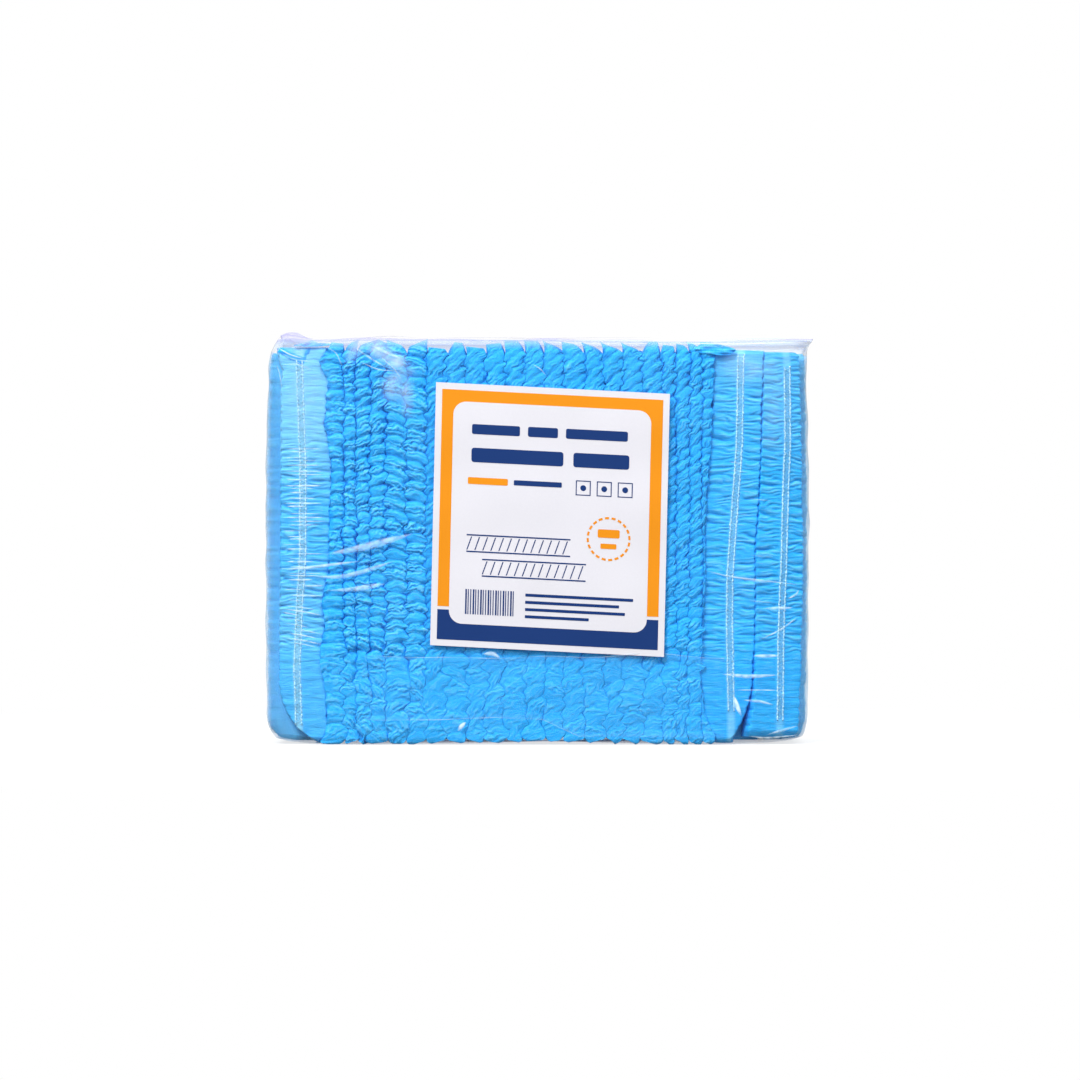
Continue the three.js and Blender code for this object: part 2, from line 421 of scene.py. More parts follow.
def blend(
    material: bpy.types.ID,
    factor: Socket,
    first: Socket | str,
    second: str,
) -> Socket:
    """A colour that runs from the first to the second, each an sRGB colour or an output.

    Args:
        material: what the node is added to.
        factor: how much of the second colour shows.
        first: the colour where factor is 0.
        second: the colour where factor is 1.

    Returns:
        The colour's socket.
    """
    first = linear(first) if isinstance(first, str) else first
    inputs = {"Factor": factor, 6: first, 7: linear(second)}
    return add_node(material, "ShaderNodeMix", inputs, data_type="RGBA").outputs[2]


def embossed(
    material: bpy.types.ID, height: Socket, depth: float, **below: Socket
) -> Socket:
    """A surface's direction where a texture embosses it by a depth in mm, over the Normal below it."""
    inputs = {"Height": height, "Strength": 1.0, "Distance": depth * MM}
    return add_node(material, "ShaderNodeBump", inputs | below).outputs[0]


@dataclass(frozen=True)
class SpunbondPolypropylene:
    """Point-bonded nonwoven of fine polypropylene fibres: matt and soft, with painted highlights on the
    crests and painted shade in the creases.
    """

    level: str = "#24AEF7"
    # The colours of the painted highlight on the crests and of the painted shade in the creases.
    crest: str = "#60C4FB"
    crease_shade: str = "#007AD8"
    # The colour of paler cloth. The left flat strip takes it as a painted reflection of the film, and the
    # side stacks' edges take it as painted light.
    pale: str = "#90D6F6"
    cloud_size: float = 4.5
    cloud_depth: float = 0.35
    wrinkle_shading: float = 1.1
    highlight_span: tuple[float, float] = (0.44, 0.0)
    shade_span: tuple[float, float] = (0.5, 1.05)
    roughness: float = 0.62
    ior: float = 1.49
    scatter: float = 0.25
    scatter_reach: float = 0.5
    scatter_colours: tuple[float, float, float] = (0.25, 0.8, 1.0)
    sheen: float = 0.05
    sheen_roughness: float = 0.5
    specular: float = 0.2
    wrinkle_across: float = 0.9
    wrinkle_along: float = 7.0
    wrinkle_height: float = 0.30
    bond_pitch: float = 1.6
    bond_scatter: float = 0.35
    bond_height: float = 0.035

    def make(self, name: str) -> Material:
        """Makes the material, which reads the cloth's pleat map, its painted crease shade and highlight, and
        its painted paleness.

        Args:
            name: the material's name.

        Returns:
            The material.
        """
        mat = blank_material(name)
        pleats = add_node(mat, "ShaderNodeUVMap", uv_map="Cloth").outputs["UV"]
        # Fibres lie in faint clouds a few millimetres across, which vary the depth of the blue.
        place = object_place(mat)
        clouds = noise(mat, place, self.cloud_size * MM, 3.0)
        # Fine wrinkles run along each pleat's folded edge, so their noise is drawn out along the pleat map;
        # it bumps the cloth and paints shade and highlight along them.
        squeeze = (1 / self.wrinkle_along, 1 / self.wrinkle_across, 1.0)
        along = add_node(mat, "ShaderNodeMapping", {"Vector": pleats, "Scale": squeeze}).outputs[0]
        wrinkles = noise(mat, along, 1.0, 3.0, Roughness=0.6, Distortion=0.6)
        # Painted shading runs from a painted highlight on a sharp crest at 0 to painted shade at the bottom
        # of a crease at 1, with level cloth at a half.
        clouded = self.blend_in(mat, clouds, self.cloud_depth, painted(mat, "crease_shade"))
        depth = self.blend_in(mat, wrinkles, -self.wrinkle_shading, clouded)
        lit = blend(mat, ramp(mat, depth, *self.highlight_span), self.level, self.crest)
        cloth = blend(mat, ramp(mat, depth, *self.shade_span), lit, self.crease_shade)
        creased = embossed(mat, wrinkles, self.wrinkle_height)
        # The bond points are pressed in a lattice 0.9 mm wide on the real cloth, drawn coarser here to show.
        points = {"Vector": place, "Scale": 1 / (self.bond_pitch * MM), "Randomness": self.bond_scatter}
        lattice = add_node(mat, "ShaderNodeTexVoronoi", points).outputs["Distance"]
        shader = add_node(
            mat,
            "ShaderNodeBsdfPrincipled",
            {
                "Base Color": blend(mat, painted(mat, "tone_and_light"), cloth, self.pale),
                "Roughness": self.roughness,
                "IOR": self.ior,
                "Specular IOR Level": self.specular,
                "Subsurface Weight": self.scatter,
                "Subsurface Radius": self.scatter_colours,
                "Subsurface Scale": self.scatter_reach * MM,
                "Sheen Weight": self.sheen,
                "Sheen Roughness": self.sheen_roughness,
                "Normal": embossed(mat, lattice, self.bond_height, Normal=creased),
            },
        )
        set_surface(mat, shader)
        return mat

    def blend_in(
        self, mat: Material, texture: Socket, strength: float, base: Socket
    ) -> Socket:
        """Adds a texture that lies round a half, at this strength, to a base value.

        Args:
            mat: the material.
            texture: the texture's value.
            strength: what it is multiplied by.
            base: what it is added to.

        Returns:
            The sum.
        """
        level = add_node(mat, "ShaderNodeMath", {0: texture, 1: 0.5}, operation="SUBTRACT").outputs[0]
        inputs = {0: level, 1: strength, 2: base}
        return add_node(mat, "ShaderNodeMath", inputs, operation="MULTIPLY_ADD").outputs[0]


@dataclass(frozen=True)
class CoveredElastic:
    """Elastic yarn covered with white polyester filament: pale, matt and finely ribbed across."""

    yarn: str = "#BDEEFE"
    shaded: str = "#62C4F8"
    mottle_size: float = 1.1
    mottle_span: tuple[float, float] = (0.42, 0.68)
    rib_pitch: float = 0.8
    rib_height: float = 0.12
    roughness: float = 0.55
    ior: float = 1.55
    sheen: float = 0.2

    def make(self, name: str) -> Material:
        """Makes the material, mottled blue where the cloth's gathers cover the yarn.

        Args:
            name: the material's name.

        Returns:
            The material.
        """
        mat = blank_material(name)
        place = object_place(mat)
        mottle = ramp(mat, noise(mat, place, self.mottle_size * MM, 2.0), *self.mottle_span)
        # A wave texture of scale 1 repeats every 0.314 m.
        bands = {"Vector": place, "Scale": 0.314 / (self.rib_pitch * MM), "Distortion": 1.5}
        ribs = add_node(mat, "ShaderNodeTexWave", bands, bands_direction="Z").outputs["Fac"]
        shader = add_node(
            mat,
            "ShaderNodeBsdfPrincipled",
            {
                "Base Color": blend(mat, mottle, self.yarn, self.shaded),
                "Roughness": self.roughness,
                "IOR": self.ior,
                "Sheen Weight": self.sheen,
                "Normal": embossed(mat, ribs, self.rib_height),
            },
        )
        set_surface(mat, shader)
        return mat


@dataclass(frozen=True)
class PolyethyleneFilm:
    """Blown low-density polyethylene film, 0.04 mm thick: clear and glossy, with a painted milky reflection
    where creased or doubled.
    """

    milky_reflection: str = "#D8F0FE"
    edge: str = "#B0AFCC"
    clear: tuple[float, float, float, float] = (0.985, 0.99, 1.0, 1.0)
    ior: float = 1.51
    roughness: float = 0.16
    ripple: float = 9.0
    ripple_height: float = 0.10
    gloss: float = 1.0
    dark_room: float = 0.12

    def make(self, name: str) -> Material:
        """Makes the material, which reads the film's painted milky reflection, and its "edge" near fin and
        folds.

        Args:
            name: the material's name.

        Returns:
            The material.
        """
        mat = blank_material(name)
        rippled = embossed(mat, noise(mat, object_place(mat), self.ripple * MM, 2.0), self.ripple_height)
        clear = add_node(mat, "ShaderNodeBsdfTransparent", {"Color": self.clear}).outputs[0]
        shiny = {"Color": (1.0, 1.0, 1.0, 1.0), "Roughness": self.roughness, "Normal": rippled}
        mirror = add_node(mat, "ShaderNodeBsdfGlossy", shiny).outputs[0]
        # So thin a film reflects alike from either side, and more as it turns edge on: Schlick's law. Square
        # on it mirrors the dark room behind the viewer, so there it shines less.
        slant = add_node(mat, "ShaderNodeLayerWeight", {"Blend": 0.5, "Normal": rippled}).outputs["Facing"]
        steep = add_node(mat, "ShaderNodeMath", {0: slant, 1: 5.0}, operation="POWER").outputs[0]
        straight = self.dark_room * ((self.ior - 1) / (self.ior + 1)) ** 2
        shine = ramp(mat, steep, 0.0, 1.0, self.gloss * straight, self.gloss)
        film = add_node(mat, "ShaderNodeMixShader", {0: shine, 1: clear, 2: mirror}).outputs[0]
        # The painted milky reflection is a white diffuse layer, tinted near the fin, folds and rims.
        tint = blend(mat, painted(mat, "edge"), self.milky_reflection, self.edge)
        milky_reflection = add_node(mat, "ShaderNodeBsdfDiffuse", {"Color": tint, "Normal": rippled}).outputs[0]
        set_surface(mat, add_node(mat, "ShaderNodeMixShader", {0: painted(mat, "haze"), 1: film, 2: milky_reflection}))
        return mat


@dataclass(frozen=True)
class CoatedPaper:
    """Semi-gloss coated label paper, plain or printed in one flat ink: smooth, with a faint fibre tooth."""

    ink: str = "#DAD9E0"
    roughness: float = 0.48
    ior: float = 1.5
    specular: float = 0.2
    fibre_size: float = 0.8
    fibre_height: float = 0.01
    mottle: float = 0.03

    def make(self, name: str) -> Material:
        """Makes the material in this ink's colour, with a little mottle as printed areas have.

        Args:
            name: the material's name.

        Returns:
            The material.
        """
        mat = blank_material(name)
        fibre = noise(mat, object_place(mat), self.fibre_size * MM, 4.0)
        strength = ramp(mat, fibre, 0.0, 1.0, 1 - self.mottle, 1 + self.mottle)
        inputs = {"Color": linear(self.ink), "Value": strength}
        shader = add_node(
            mat,
            "ShaderNodeBsdfPrincipled",
            {
                "Base Color": add_node(mat, "ShaderNodeHueSaturation", inputs).outputs[0],
                "Roughness": self.roughness,
                "IOR": self.ior,
                "Specular IOR Level": self.specular,
                "Normal": embossed(mat, fibre, self.fibre_height),
            },
        )
        set_surface(mat, shader)
        return mat


# ---------------------------------------------------------------------------------------------------------
# The bag's form
# ---------------------------------------------------------------------------------------------------------


@dataclass(frozen=True)
class BagLevel:
    """One level of the bag: how far its sides and faces lie inside its widest outline there."""

    up: float
    side_inset: float
    face_inset: float
    corner: float
    shift: float


@dataclass
class BagForm:
    """The bag's outline, from its foot to the fin along its top, worked out from the solid film's box."""

    levels: tuple[BagLevel, ...] = (
        BagLevel(0.0, 3.4, 1.7, 12.0, 0.0),
        BagLevel(1.0, 1.8, 0.6, 13.0, 0.0),
        BagLevel(3.0, 1.1, 0.1, 14.0, 0.0),
        BagLevel(10.0, 0.9, 0.0, 14.0, 0.0),
        BagLevel(60.0, 0.2, 0.0, 14.0, 0.0),
        BagLevel(110.0, 0.0, 0.0, 14.0, 0.0),
        BagLevel(160.0, 0.5, 0.0, 14.0, 0.0),
        BagLevel(190.0, 1.5, 0.0, 14.0, 0.15),
        BagLevel(197.0, 2.0, 0.5, 13.5, 0.9),
        BagLevel(200.5, 2.3, 1.6, 12.5, 2.3),
        BagLevel(203.0, 2.3, 3.6, 10.0, 3.7),
        BagLevel(203.7, 2.1, 14.0, 8.0, 4.3),
        BagLevel(204.2, 1.7, 41.8, 1.1, 4.7),
        BagLevel(206.5, 1.0, 42.5, 0.5, 4.9),
    )
    half_width: float = 136.7
    middle_x: float = -0.7
    # The pack rests on the middle of its foot, which curves up at both ends: X, and the foot's height there.
    foot_line: tuple[tuple[float, float], ...] = (
        (-138.0, 14.0), (-136.6, 8.5), (-132.0, 3.4), (-124.0, 1.7), (-115.0, 0.8), (-105.0, 0.2),
        (-85.0, 0.0), (-65.0, 0.4), (-40.0, 0.6), (-20.0, 1.0), (5.0, 1.6), (35.0, 1.2), (55.0, 0.5),
        (75.0, 0.0), (92.0, 0.0), (105.0, 0.7), (116.0, 1.2), (125.0, 2.2), (133.0, 4.0), (134.8, 8.0),
        (136.5, 13.0),
    )

    # The film's top sags where the caps under it are shorter: X, and how far it lies lower there.
    sag_line: tuple[tuple[float, float], ...] = (
        (-20.0, 0.0), (5.0, 0.2), (20.0, 0.6), (50.0, 0.9), (96.0, 0.9), (112.0, 0.5), (128.0, 0.4),
        (138.0, 0.8),
    )
    sags_from: float = 190.0

    def __post_init__(self) -> None:
        """Reads the bag's depth from its box, and makes the noise that waves its film."""
        self.wave = Ripple(5, 38.0)
        self.flute = Ripple(6, 17.0)
        low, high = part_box("bag_film")
        self.half_depth = (high.y - low.y) / 2 / MM
        self.middle_y = (high.y + low.y) / 2 / MM
        self.height = high.z / MM

    def at(self, up: Array, column: str) -> Array:
        """A named column of the levels at each height, eased straight between them."""
        values = [getattr(level, column) for level in self.levels]
        return np.interp(up, [level.up for level in self.levels], values)

    def foot_at(self, across: Array | float) -> Array:
        """How high the foot lies at each place along X."""
        return np.interp(across, *np.array(self.foot_line).T)

    def sag_at(self, across: Array | float, up: Array | float) -> Array:
        """How much lower than its level each place along X lies."""
        return np.interp(across, *np.array(self.sag_line).T) * smooth(self.sags_from, 203.0, np.asarray(up))

    def corner_cut(self, up: Array, sign: int) -> Array:
        """How far in the foot's curved corner lies from the bag's left or right side.

        Args:
            up: heights.
            sign: -1 for the left side and 1 for the right.

        Returns:
            The distance from the side at each height.
        """
        line = np.array([place for place in self.foot_line if place[0] * sign > 85.0])
        line = line[np.argsort(line[:, 1])]
        corner = np.interp(up, line[:, 1], line[:, 0] * sign)
        return np.maximum(self.half_width + sign * self.middle_x - corner, 0)

    def outline(self, up: float, front: int, side: int, corner: int) -> tuple[Array, Array]:
        """The bag's outline at one height, anticlockwise from above, starting at the front's left end.

        Args:
            up: the height.
            front: steps along the front and along the back.
            side: steps along each side.
            corner: steps round each corner.

        Returns:
            Places and outward directions, N by 2 each.
        """
        half_x = self.half_width - self.at(up, "side_inset")
        half_y = self.half_depth - self.at(up, "face_inset")
        radius = min(self.at(up, "corner"), half_y * 0.95)
        middle = self.middle_x + self.at(up, "shift")
        places, headings = [], []
        # Each stretch starts where a corner ends: front, right side, back and left side.
        for turn, steps in ((-90, front), (0, side), (90, front), (180, side)):
            heading = np.array([math.cos(math.radians(turn)), math.sin(math.radians(turn))])
            ahead = np.array([-heading[1], heading[0]])
            reach = half_y if turn in (-90, 90) else half_x
            run = (half_x if turn in (-90, 90) else half_y) - radius
            for share in np.linspace(-1, 1, steps, endpoint=False):
                places.append(heading * reach + ahead * run * share)
                headings.append(heading)
            for step in range(corner):
                angle = math.radians(turn + 90 * step / corner)
                spoke = np.array([math.cos(angle), math.sin(angle)])
                places.append(heading * (reach - radius) + ahead * run + spoke * radius)
                headings.append(spoke)
        return np.array(places) + [middle, self.middle_y], np.array(headings)

    def swell(self, places: Array) -> Array:
        """How far the film waves in or out at places N by 3: calm near its foot and along its top.

        Args:
            places: places on the film, N by 3.

        Returns:
            The distance outwards at each place.
        """
        turn, up = places[..., 0] + 0.8 * places[..., 1], places[..., 2]
        calm = smooth(0.0, 6.0, up) * smooth(205.5, 199.0, up)
        return (0.22 * self.wave(turn, up) + 0.12 * self.flute(turn, up)) * calm

    def front_out(self, across: Array, up: Array, waved: bool = True) -> Array:
        """How far out the bag's front lies, round its corners too.

        Args:
            across: places along X.
            up: heights.
            waved: whether to follow the film's waves as well.

        Returns:
            The distance towards the viewer, -Y, for each place.
        """
        across, up = np.broadcast_arrays(np.asarray(across, float), np.asarray(up, float))
        radius = np.minimum(self.at(up, "corner"), self.half_depth - self.at(up, "face_inset"))
        half_x = self.half_width - self.at(up, "side_inset")
        past = np.abs(across - self.middle_x - self.at(up, "shift")) - (half_x - radius)
        past = np.clip(past, 0, radius * 0.98)
        face = self.half_depth - self.at(up, "face_inset") - self.middle_y
        out = face - radius + np.sqrt(radius**2 - past**2)
        return out + self.swell(Facing.FRONT.place(across, out, up)) if waved else out


# ---------------------------------------------------------------------------------------------------------
# Pleated strips on edge
# ---------------------------------------------------------------------------------------------------------


# Near the foot the pleats are squashed: how far to either side of a height they turn so, and by how much they
# are then broader and more scattered in degrees, and how long they are in strip widths.
LOOSE_FADE = 6.0
LOOSE_BREADTH = 0.38
LOOSE_SCATTER = 16.0
LOOSE_LENGTH = 0.62
# How many pitches of pleats there are past each end of a strip, so that its ends are covered.
SPARE_PITCHES = 2.5


@dataclass(frozen=True)
class Pleating:
    """How the folded edges of one strip's pleats lie. Tilts are degrees, rising to the right."""

    pitch: float
    top_tilt: float
    middle_tilt: float
    foot_tilt: float
    fan: int = 1
    scatter: float = 6.0
    length: float = 0.56
    bend: float = 0.0
    crimp: float = 1.0
    depth: float = 1.0
    shade: float = 0.0


class PleatStyle(Enum):
    """The kinds of pleat edge that the pack shows."""

    CHAIN = Pleating(5.8, 4.0, 0.0, 10.0, scatter=4.0, length=0.60, bend=0.15, crimp=0.8)
    LINKED = Pleating(5.6, 22.0, -6.0, -18.0, length=0.60, bend=0.2)
    RISING = Pleating(5.3, 30.0, 16.0, -24.0, fan=-1, length=0.66, bend=0.2)
    FALLING = Pleating(5.2, -18.0, -22.0, 16.0, fan=-1, length=0.68, bend=0.50)
    LEVEL = Pleating(5.2, -12.0, -10.0, 8.0, fan=-1, length=0.68, bend=0.50)
    BRAID = Pleating(
        5.4, 46.0, 34.0, 28.0, scatter=4.0, length=0.74, bend=0.18, crimp=0.6, depth=0.48, shade=0.06
    )
    STEEP = Pleating(
        5.0, 50.0, 46.0, 30.0, scatter=4.0, length=0.74, bend=0.18, crimp=0.65, depth=0.50, shade=0.05
    )
    LOOSE = Pleating(6.2, 24.0, -18.0, 16.0, scatter=14.0)


@dataclass(frozen=True)
class Tip:
    """A strip's free end: it leans by lean across, is as wide as width at its top, and slants by slant."""

    height: float
    lean: float
    width: float
    slant: float


@dataclass(frozen=True)
class Column:
    """One strip on its wall, with its free end."""

    left: float
    right: float
    foot: float
    shoulder: float
    style: PleatStyle
    tip: Tip
    foot_slant: float = 0.0


@dataclass
class Lumps:
    """The rounded ends of one strip's pleats, from the foot up, as ellipses on the wall."""

    across: Array
    up: Array
    tilt: Array
    long: Array
    short: Array
    swell: Array
    phase: Array
    style: Pleating

    @classmethod
    def lay(cls, column: Column, start: float, loose_below: float, rng: np.random.Generator) -> "Lumps":
        """Lays the lumps of one strip.

        Args:
            column: the strip.
            start: how far along its first pitch the lumps begin.
            loose_below: the height under which the pleats are squashed broad and uneven.
            rng: draws each lump's scatter.

        Returns:
            The lumps, which run a little past both ends of the strip.
        """
        style = column.style.value
        width = column.right - column.left
        spare = SPARE_PITCHES * style.pitch
        heights, height = [], column.foot - spare + start * style.pitch
        while height < column.tip.height + spare:
            heights.append(height)
            broad = 1 + LOOSE_BREADTH * smooth(loose_below + LOOSE_FADE, loose_below - LOOSE_FADE, height)
            height += style.pitch * broad * (1 + 0.10 * rng.standard_normal())
        up = np.array(heights)
        count = len(up)
        loose = smooth(loose_below + LOOSE_FADE, loose_below - LOOSE_FADE, up)
        stops = [column.foot, loose_below, (column.foot + column.shoulder) * 0.55, column.shoulder * 0.86]
        tilts = [style.foot_tilt, style.foot_tilt, style.middle_tilt, style.top_tilt]
        scatter = style.scatter + loose * LOOSE_SCATTER
        tilt = np.radians(np.interp(up, stops, tilts) + scatter * rng.standard_normal(count))
        spacing = np.gradient(up)
        length = (style.length + (LOOSE_LENGTH - style.length) * loose) * width
        middle = (column.left + column.right) / 2
        return cls(
            across=middle + width * (0.04 + 0.06 * loose) * rng.standard_normal(count),
            up=up,
            tilt=tilt,
            long=length * (1 + 0.07 * rng.standard_normal(count)),
            short=0.62 * spacing * np.cos(tilt) * (1 + (0.06 + 0.12 * loose) * rng.standard_normal(count)),
            swell=rng.uniform(-1, 1, count),
            phase=rng.uniform(0, 2 * math.pi, count),
            style=style,
        )

    def foremost(
        self, across: Array, up: Array, dome: Array, ledge: Array
    ) -> dict[str, Array]:
        """Finds the lump that stands furthest out at each place, where they all lie like scales.

        Args:
            across: places on the wall.
            up: their heights.
            dome: how far a lump's rim drops behind its middle.
            ledge: how far its upper edge stands out past its middle, over the lump above.

        Returns:
            drop, how far back the face lies; next, how far back the lump behind does; along and over, the
            place within the lump from -1 to 1; and index, which lump it is.
        """
        around = np.searchsorted(self.up, up)[..., None] + np.arange(-3, 3)
        around = np.clip(around, 0, len(self.up) - 1)
        step_across = across[..., None] - self.across[around]
        step_up = up[..., None] - self.up[around]
        cos, sin = np.cos(self.tilt[around]), np.sin(self.tilt[around])
        along = (step_across * cos + step_up * sin) / self.long[around]
        arch = self.style.bend * np.minimum(along**2, 1.5)
        over = (step_up * cos - step_across * sin) / self.short[around] + arch
        distance = np.minimum(np.sqrt(along**2 + over**2), 1.5)
        drop = dome[..., None] * distance**2.6 - ledge[..., None] * np.clip(over, -1.2, 1.2)
        drop = self.style.depth * (drop + 0.22 * (1 - self.swell[around]))
        order = np.argsort(drop, -1)

        def pick(values: Array, rank: int = 0) -> Array:
            """The values of the lump that comes at this rank, from the front, at each place."""
            return np.take_along_axis(values, order[..., rank : rank + 1], -1)[..., 0]

        return {
            "drop": pick(drop),
            "next": pick(drop, 1),
            "along": pick(along),
            "over": pick(over),
            "index": pick(around),
        }


@dataclass
class StripWall:
    """A row of strips standing on edge, seen from outside, with their pleats' ends towards the viewer."""

    facing: Facing
    columns: list[Column]
    reach: Callable[[Array, Array], Array]
    inner: float
    seed: int
    points_across: int = 20
    row_height: float = 0.45
    end_rows: int = 16
    loose_below: float = 46.0
    dome: float = 1.40
    ledge: float = 0.45
    wrinkle: float = 0.46
    crumpling: float = 0.30
    slouch: float = 0.35
    warp_across: float = 0.45
    warp_up: float = 0.40
    clearance: float = 0.05
    wall_overlap: float = 0.15
    wall_slope: float = 3.4
    wall_shade: float = 1.0
    foot_shade: float = 0.0
    foot_radius: float = 2.6
    foot_slant_height: float = 7.0
    floor_gap: float = 0.1
    hidden: tuple[float, float, float, float] | None = None
    seams: tuple[Callable[[Array], Array], Callable[[Array], Array]] | None = None

    def __post_init__(self) -> None:
        """Lays the lumps of every strip, and of one more past each end of the row."""
        rng = np.random.default_rng(self.seed)
        first, last = self.columns[0], self.columns[-1]
        left, right = first.left - (first.right - first.left), last.right + (last.right - last.left)
        before = replace(first, left=left, right=first.left, foot_slant=0.0)
        beyond = replace(last, left=last.right, right=right, foot_slant=0.0)
        self.padded = [before, *self.columns, beyond]
        self.lumps = [
            Lumps.lay(column, 0.5 * (number % 2) + 0.2 * rng.random(), self.loose_below, rng)
            for number, column in enumerate(self.padded)
        ]
        self.relief_noise = Ripple(self.seed + 1, 14.0)
        self.sway = Ripple(self.seed + 2, 60.0)
        self.warp = (Ripple(self.seed + 3, 5.0), Ripple(self.seed + 4, 5.0))
        self.crumple = Ripple(self.seed + 5, 2.6)
        self.press = Ripple(self.seed + 6, 8.0)
        self.gaps = Ripple(self.seed + 21, 5.0)
        self.bulge = Ripple(self.seed + 7, 6.5)

    def looseness(self, up: Array) -> Array:
        """How squashed and uneven the pleats are at each height, from 0 to 1 near the foot."""
        return smooth(self.loose_below + LOOSE_FADE, self.loose_below - LOOSE_FADE - 2, up)

    def border(self, number: int, up: Array) -> Array:
        """Where a strip meets the one on its left: their lumps interlock, so the border zigzags.

        Args:
            number: the strip, counted from 0; the last border has the strips' count.
            up: heights.

        Returns:
            How far across the border lies at each height.
        """
        left, right = self.padded[number], self.padded[number + 1]
        straight = left.right
        if self.seams and number in (0, len(self.columns)):
            return self.seams[bool(number)](up) + 0.35 * self.bulge(up, number * 17.0)
        if number in (0, len(self.columns)):
            return straight + (0.3 if number else -0.3) + 0.35 * self.sway(up, number * 31.0)
        span = 0.34 * min(left.right - left.left, right.right - right.left)
        places = straight + np.linspace(-span, span, 25)
        grid_across, grid_up = np.meshgrid(places, up)
        own = self.foremost(number - 1, grid_across, grid_up)["drop"]
        other = self.foremost(number, grid_across, grid_up)["drop"]
        past = np.argmax(own > other, 1)
        found = np.where((own > other).any(1), places[past], places[-1])
        soft = np.convolve(np.pad(found, 2, mode="edge"), [0.1, 0.2, 0.4, 0.2, 0.1], "valid")
        return soft + 0.5 * self.sway(up, number * 31.0)

    def foremost(self, number: int, across: Array, up: Array) -> dict[str, Array]:
        """The foremost of one strip's lumps, flatter near the foot, their outlines bent a little by noise.

        Args:
            number: the strip, counted from 0.
            across: places on the wall.
            up: their heights.

        Returns:
            What Lumps.foremost gives for each place.
        """
        loose = self.looseness(up)
        if self.seams and number == 0:
            column = self.columns[0]
            width = column.right - self.seams[0](up)
            across = column.right - (column.right - across) * (column.right - column.left) / width
        if self.seams and number == len(self.columns) - 1:
            column = self.columns[-1]
            width = self.seams[1](up) - column.left
            across = column.left + (across - column.left) * (column.right - column.left) / width
        bent_across = across + self.warp_across * self.warp[0](across, up)
        bent_up = up + self.warp_up * self.warp[1](across, up)
        dome = self.dome * (1 - 0.5 * loose)
        ledge = self.ledge * (1 - 0.4 * loose) * (1 - 0.5 * self.merged(across, up, loose))
        return self.lumps[number + 1].foremost(bent_across, bent_up, dome, ledge)

    def merged(self, across: Array, up: Array, loose: Array) -> Array:
        """Where neighbouring pleats run into each other, so that the crease between them fades out."""
        return (0.40 + 0.45 * loose) * smooth(0.45, -0.35, self.gaps(across, up))

    def relief(
        self, number: int, across: Array, up: Array, fade: Array
    ) -> tuple[Array, Array, Array]:
        """The pleated face of one strip.

        Args:
            number: the strip, counted from 0.
            across: places over its face.
            up: their heights.
            fade: 1 where the pleats are full, falling to 0 at the strip's free end.

        Returns:
            How far the face drops back at each place, how deep in a fold it lies (0.5 is level cloth, 1 a
            deep crease and 0 a sharp crest), and its pattern coordinates.
        """
        lumps = self.lumps[number + 1]
        style = lumps.style
        near = self.foremost(number, across, up)
        other = np.full(across.shape, 9.0)
        for beside in (number - 1, number + 1):
            if not self.seams or 0 <= beside < len(self.columns):
                other = np.minimum(other, self.foremost(beside, across, up)["drop"])
        loose = self.looseness(up)
        merged = self.merged(across, up, loose)
        # The lumps press together: a shallow crease where two meet, a deep notch where three do.
        crease = pillow(near["next"] - near["drop"], 0.5)
        seam = pillow(other - near["drop"], 0.5)
        weight = 0.4 + 0.6 * style.depth
        sharp = style.depth * (1 + 0.35 * loose)
        pressed = near["drop"] + 0.25 * style.depth * self.press(across, up)
        notch = weight * smooth(0.7 * sharp, 1.6 * sharp, pressed) * (1.15 - merged)
        drop = near["drop"] * (0.25 + 0.75 * fade) + 0.12 * (1 - seam)
        # Fine creases fan out over each pleat from one of its ends.
        spread = near["over"] / (1.5 - style.fan * near["along"])
        turn = 6.4 * spread + 0.5 * self.crumple(across, up) + lumps.phase[near["index"]]
        fan = 1 - 2 * np.abs(np.sin(turn))
        uneven = 0.7 + 0.45 * self.relief_noise(across, up)
        calm = (0.55 + 0.45 * crease * seam) * uneven * (fade * 0.5 + 0.5)
        calm = style.crimp * np.clip(calm * (1 - 0.25 * loose), 0, 1.3)
        drop = drop + self.wrinkle * (fan + self.crumpling * self.crumple(across * 1.2, up)) * calm
        drop = drop + self.slouch * (1 - self.relief_noise(across * 0.35, up * 0.35)) * 0.5
        # Painted shade darkens the notches, the lines between lumps and the hollows of the fine creases, and
        # painted highlight lightens their ridges; the style's own shade darkens the strip a little above its
        # squashed foot.
        line = (1 - crease * seam) * (0.6 + 0.4 * self.press(across * 1.3 + 9, up * 1.3)) * (1 - merged)
        crease_shade = 0.45 + style.shade * (1 - loose) + 0.35 * notch * fade
        crease_shade = crease_shade + 0.16 * weight * line * (1 - 0.5 * loose) + 0.34 * fan * calm
        # The pattern coordinates of neighbouring pleats lie apart, so that their wrinkles differ.
        index = near["index"]
        pattern = [near["along"] * lumps.long[index], near["over"] * lumps.short[index] + 7.3 * index]
        return drop, np.clip(crease_shade, 0, 1), np.stack(pattern, -1)

    def rows(self, column: Column) -> Array:
        """The heights of a strip's rings below its shoulder: coarse where it lies wholly behind the label.

        Args:
            column: the strip.

        Returns:
            The heights, from its foot up.
        """
        fine = np.arange(column.foot, column.shoulder, self.row_height)
        if self.hidden is None:
            return fine
        left, right, low, high = self.hidden
        if column.left < left or column.right > right:
            return fine
        covered = (fine > low) & (fine < high)
        return fine[~covered | (np.arange(len(fine)) % 5 == 0)]

    def mesh(self, number: int, into: PieceMesh, tone_and_light: float = 0.0) -> None:
        """Adds one strip as a closed loft of rings from its foot to the top of its free end.

        Args:
            number: the strip, counted from 0.
            into: the mesh that it is added to.
            tone_and_light: how pale its cloth is painted, from 0 to 1; on the side stacks this is painted
                light.
        """
        column, tip = self.columns[number], self.columns[number].tip
        body = self.rows(column)
        end = np.linspace(0, 1, self.end_rows)[1:]
        rows = np.concatenate([body, column.shoulder + end * (tip.height - column.shoulder)])
        rise = np.concatenate([np.zeros(len(body)), end])[:, None]
